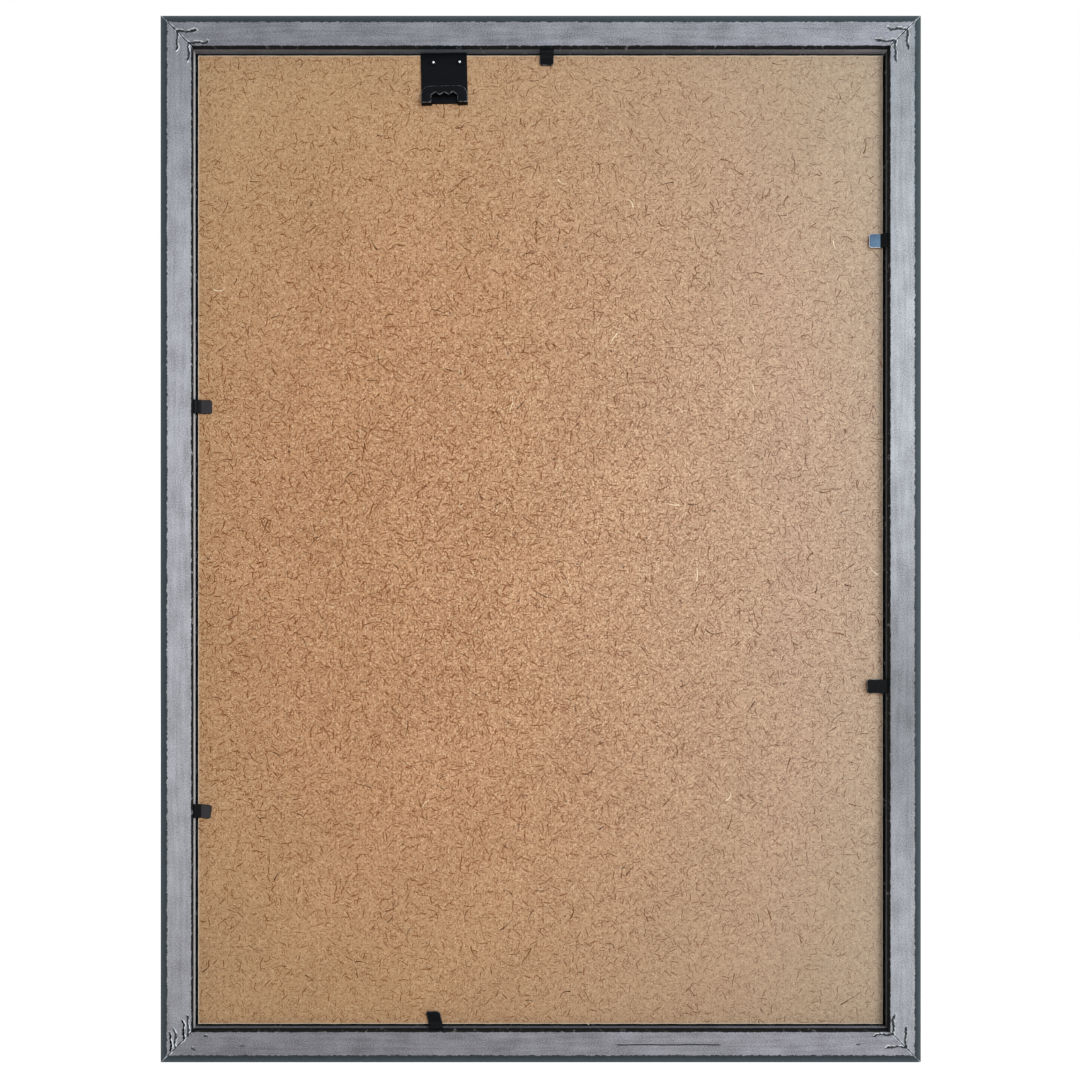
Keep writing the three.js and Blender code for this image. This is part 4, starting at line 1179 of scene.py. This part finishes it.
# The greyer satin tips are a painted sheen, and the blue tip is a painted reflection of the sky
tab_finishes = {
    "dull": black_lacquer("spring_steel_dull", "#060607", "#0b0c0e", 0.45, 0.06),
    "satin": black_lacquer("spring_steel_painted_sheen", "#221f20", "#302c2d", 0.36, 0.22),
    "bright": black_lacquer("spring_steel_painted_sky_reflection", "#101d33", "#1c3050", 0.28, 0.42),
}
tab_rims = {
    "dull": rubbed_edge,
    "satin": tab_finishes["dull"],
    "bright": rubbed_steel("spring_steel_bare_rim", "#c4cad2", 0.2),
}
tab_joints = {joint["child"]: joint for joint in frame["joints"]}
for tab, bend in tab_bends.items():
    body_name = f"tab_{tab}"
    turn_only = side_places[bend["side"]].to_3x3().to_4x4()
    inwards = turn_only @ Vector((0, 0, -1))
    pivot = Vector(tab_joints[body_name]["pos_m"])
    wall = pivot - inwards * TAB_PIVOT * MM
    place = Matrix.Translation(wall) @ turn_only
    mesh = tab_mesh(body_name, place, bend["reach"], bend["lift"], bend["lean"], bend["tip"])
    finish = bend["finish"]
    strip = new_piece(body_name, mesh, tab_finishes["dull"], tab_rims[finish], tab_finishes[finish])
    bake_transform(strip)
    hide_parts(f"tab_{tab}_shank", f"tab_{tab}_flap")


# Stage: a pale floor under the frame and a white surround. A window stands to the right of the back with
# a patch of blue sky nearer by, a lamp hangs close to the viewer, and a soft fill lights the front, all at
# a level where a colour renders about as it is written.
FLOOR_REACH = 6.0
SURROUND_FILL = 0.28
FLOOR_GLOW = 0.92
WINDOW_SIZE = (1.8, 2.2)
WINDOW_POWER = 58.0
WINDOW_FROM = Vector((-2.7, 2.8, 0.1))
SKY_SIZE = (0.42, 0.6)
SKY_POWER = 9.0
SKY_FROM = Vector((-0.71, 1.385, 0.7))
LAMP_SIZE = (0.3, 0.3)
LAMP_POWER = 1.1
LAMP_FROM = Vector((-0.08, 0.42, 0.05))
FRONT_SIZE = (1.2, 1.2)
FRONT_POWER = 10.0
FRONT_FROM = Vector((0.7, -1.1, 0.9))
WHITE = "#ffffff"


def seen_directly(add):
    """1 where the surface itself is seen, in a gloss or through glass."""
    path = add("LightPath").outputs
    either = add("Math", {0: path["Is Camera Ray"], 1: path["Is Glossy Ray"]}, operation="MAXIMUM")
    return add("Math", {0: either, 1: path["Is Transmission Ray"]}, operation="MAXIMUM")


world = bpy.data.worlds.new("white_surround")
bpy.context.scene.world = world
world.use_nodes = True
world.node_tree.nodes.clear()
add_to_world = partial(add_node, world.node_tree, "ShaderNode")
fill = add_to_world("Background", {"Color": linear("#fffcf7"), "Strength": SURROUND_FILL})
white = add_to_world("Background", {"Color": linear(WHITE), "Strength": 1.0})
surround = add_to_world("MixShader", {0: seen_directly(add_to_world), 1: fill, 2: white})
add_to_world("OutputWorld", {"Surface": surround})

floor_mesh = bpy.data.meshes.new("floor")
corner_signs = ((-1, -1), (1, -1), (1, 1), (-1, 1))
floor_mesh.from_pydata(
    [(middle.x + a * FLOOR_REACH, b * FLOOR_REACH, cad_low.z) for a, b in corner_signs], [], [(0, 1, 2, 3)])
floor_finish, add_to_floor = new_material("pale_floor")
pale = add_to_floor("BsdfDiffuse", {"Color": linear("#e9e9e9")})
shaded = add_to_floor("BsdfDiffuse", {"Color": linear("#b3b3b3")})
glow = add_to_floor("Emission", {"Color": linear(WHITE), "Strength": FLOOR_GLOW})
white_floor = add_to_floor("AddShader", {0: shaded, 1: glow})
floor_shader = add_to_floor("MixShader", {0: seen_directly(add_to_floor), 1: pale, 2: white_floor})
add_to_floor("OutputMaterial", {"Surface": floor_shader})
floor = new_piece("floor", floor_mesh, floor_finish)


def area_light(name, away, size, power, colour):
    """A rectangular light that faces the middle of the frame."""
    data = bpy.data.lights.new(name, "AREA")
    data.shape = "RECTANGLE"
    data.size, data.size_y = size
    data.energy = power
    data.color = linear(colour)[:3]
    light = bpy.data.objects.new(name, data)
    light.location = middle + away
    light.rotation_euler = (-away).to_track_quat("-Z", "Y").to_euler()
    light.visible_camera = False
    bpy.context.scene.collection.objects.link(light)


area_light("window", WINDOW_FROM, WINDOW_SIZE, WINDOW_POWER, "#fff9f2")
area_light("sky", SKY_FROM, SKY_SIZE, SKY_POWER, "#a4dcff")
area_light("lamp", LAMP_FROM, LAMP_SIZE, LAMP_POWER, "#fffaf4")
area_light("front_fill", FRONT_FROM, FRONT_SIZE, FRONT_POWER, WHITE)

bpy.context.scene.view_settings.view_transform = "Standard"
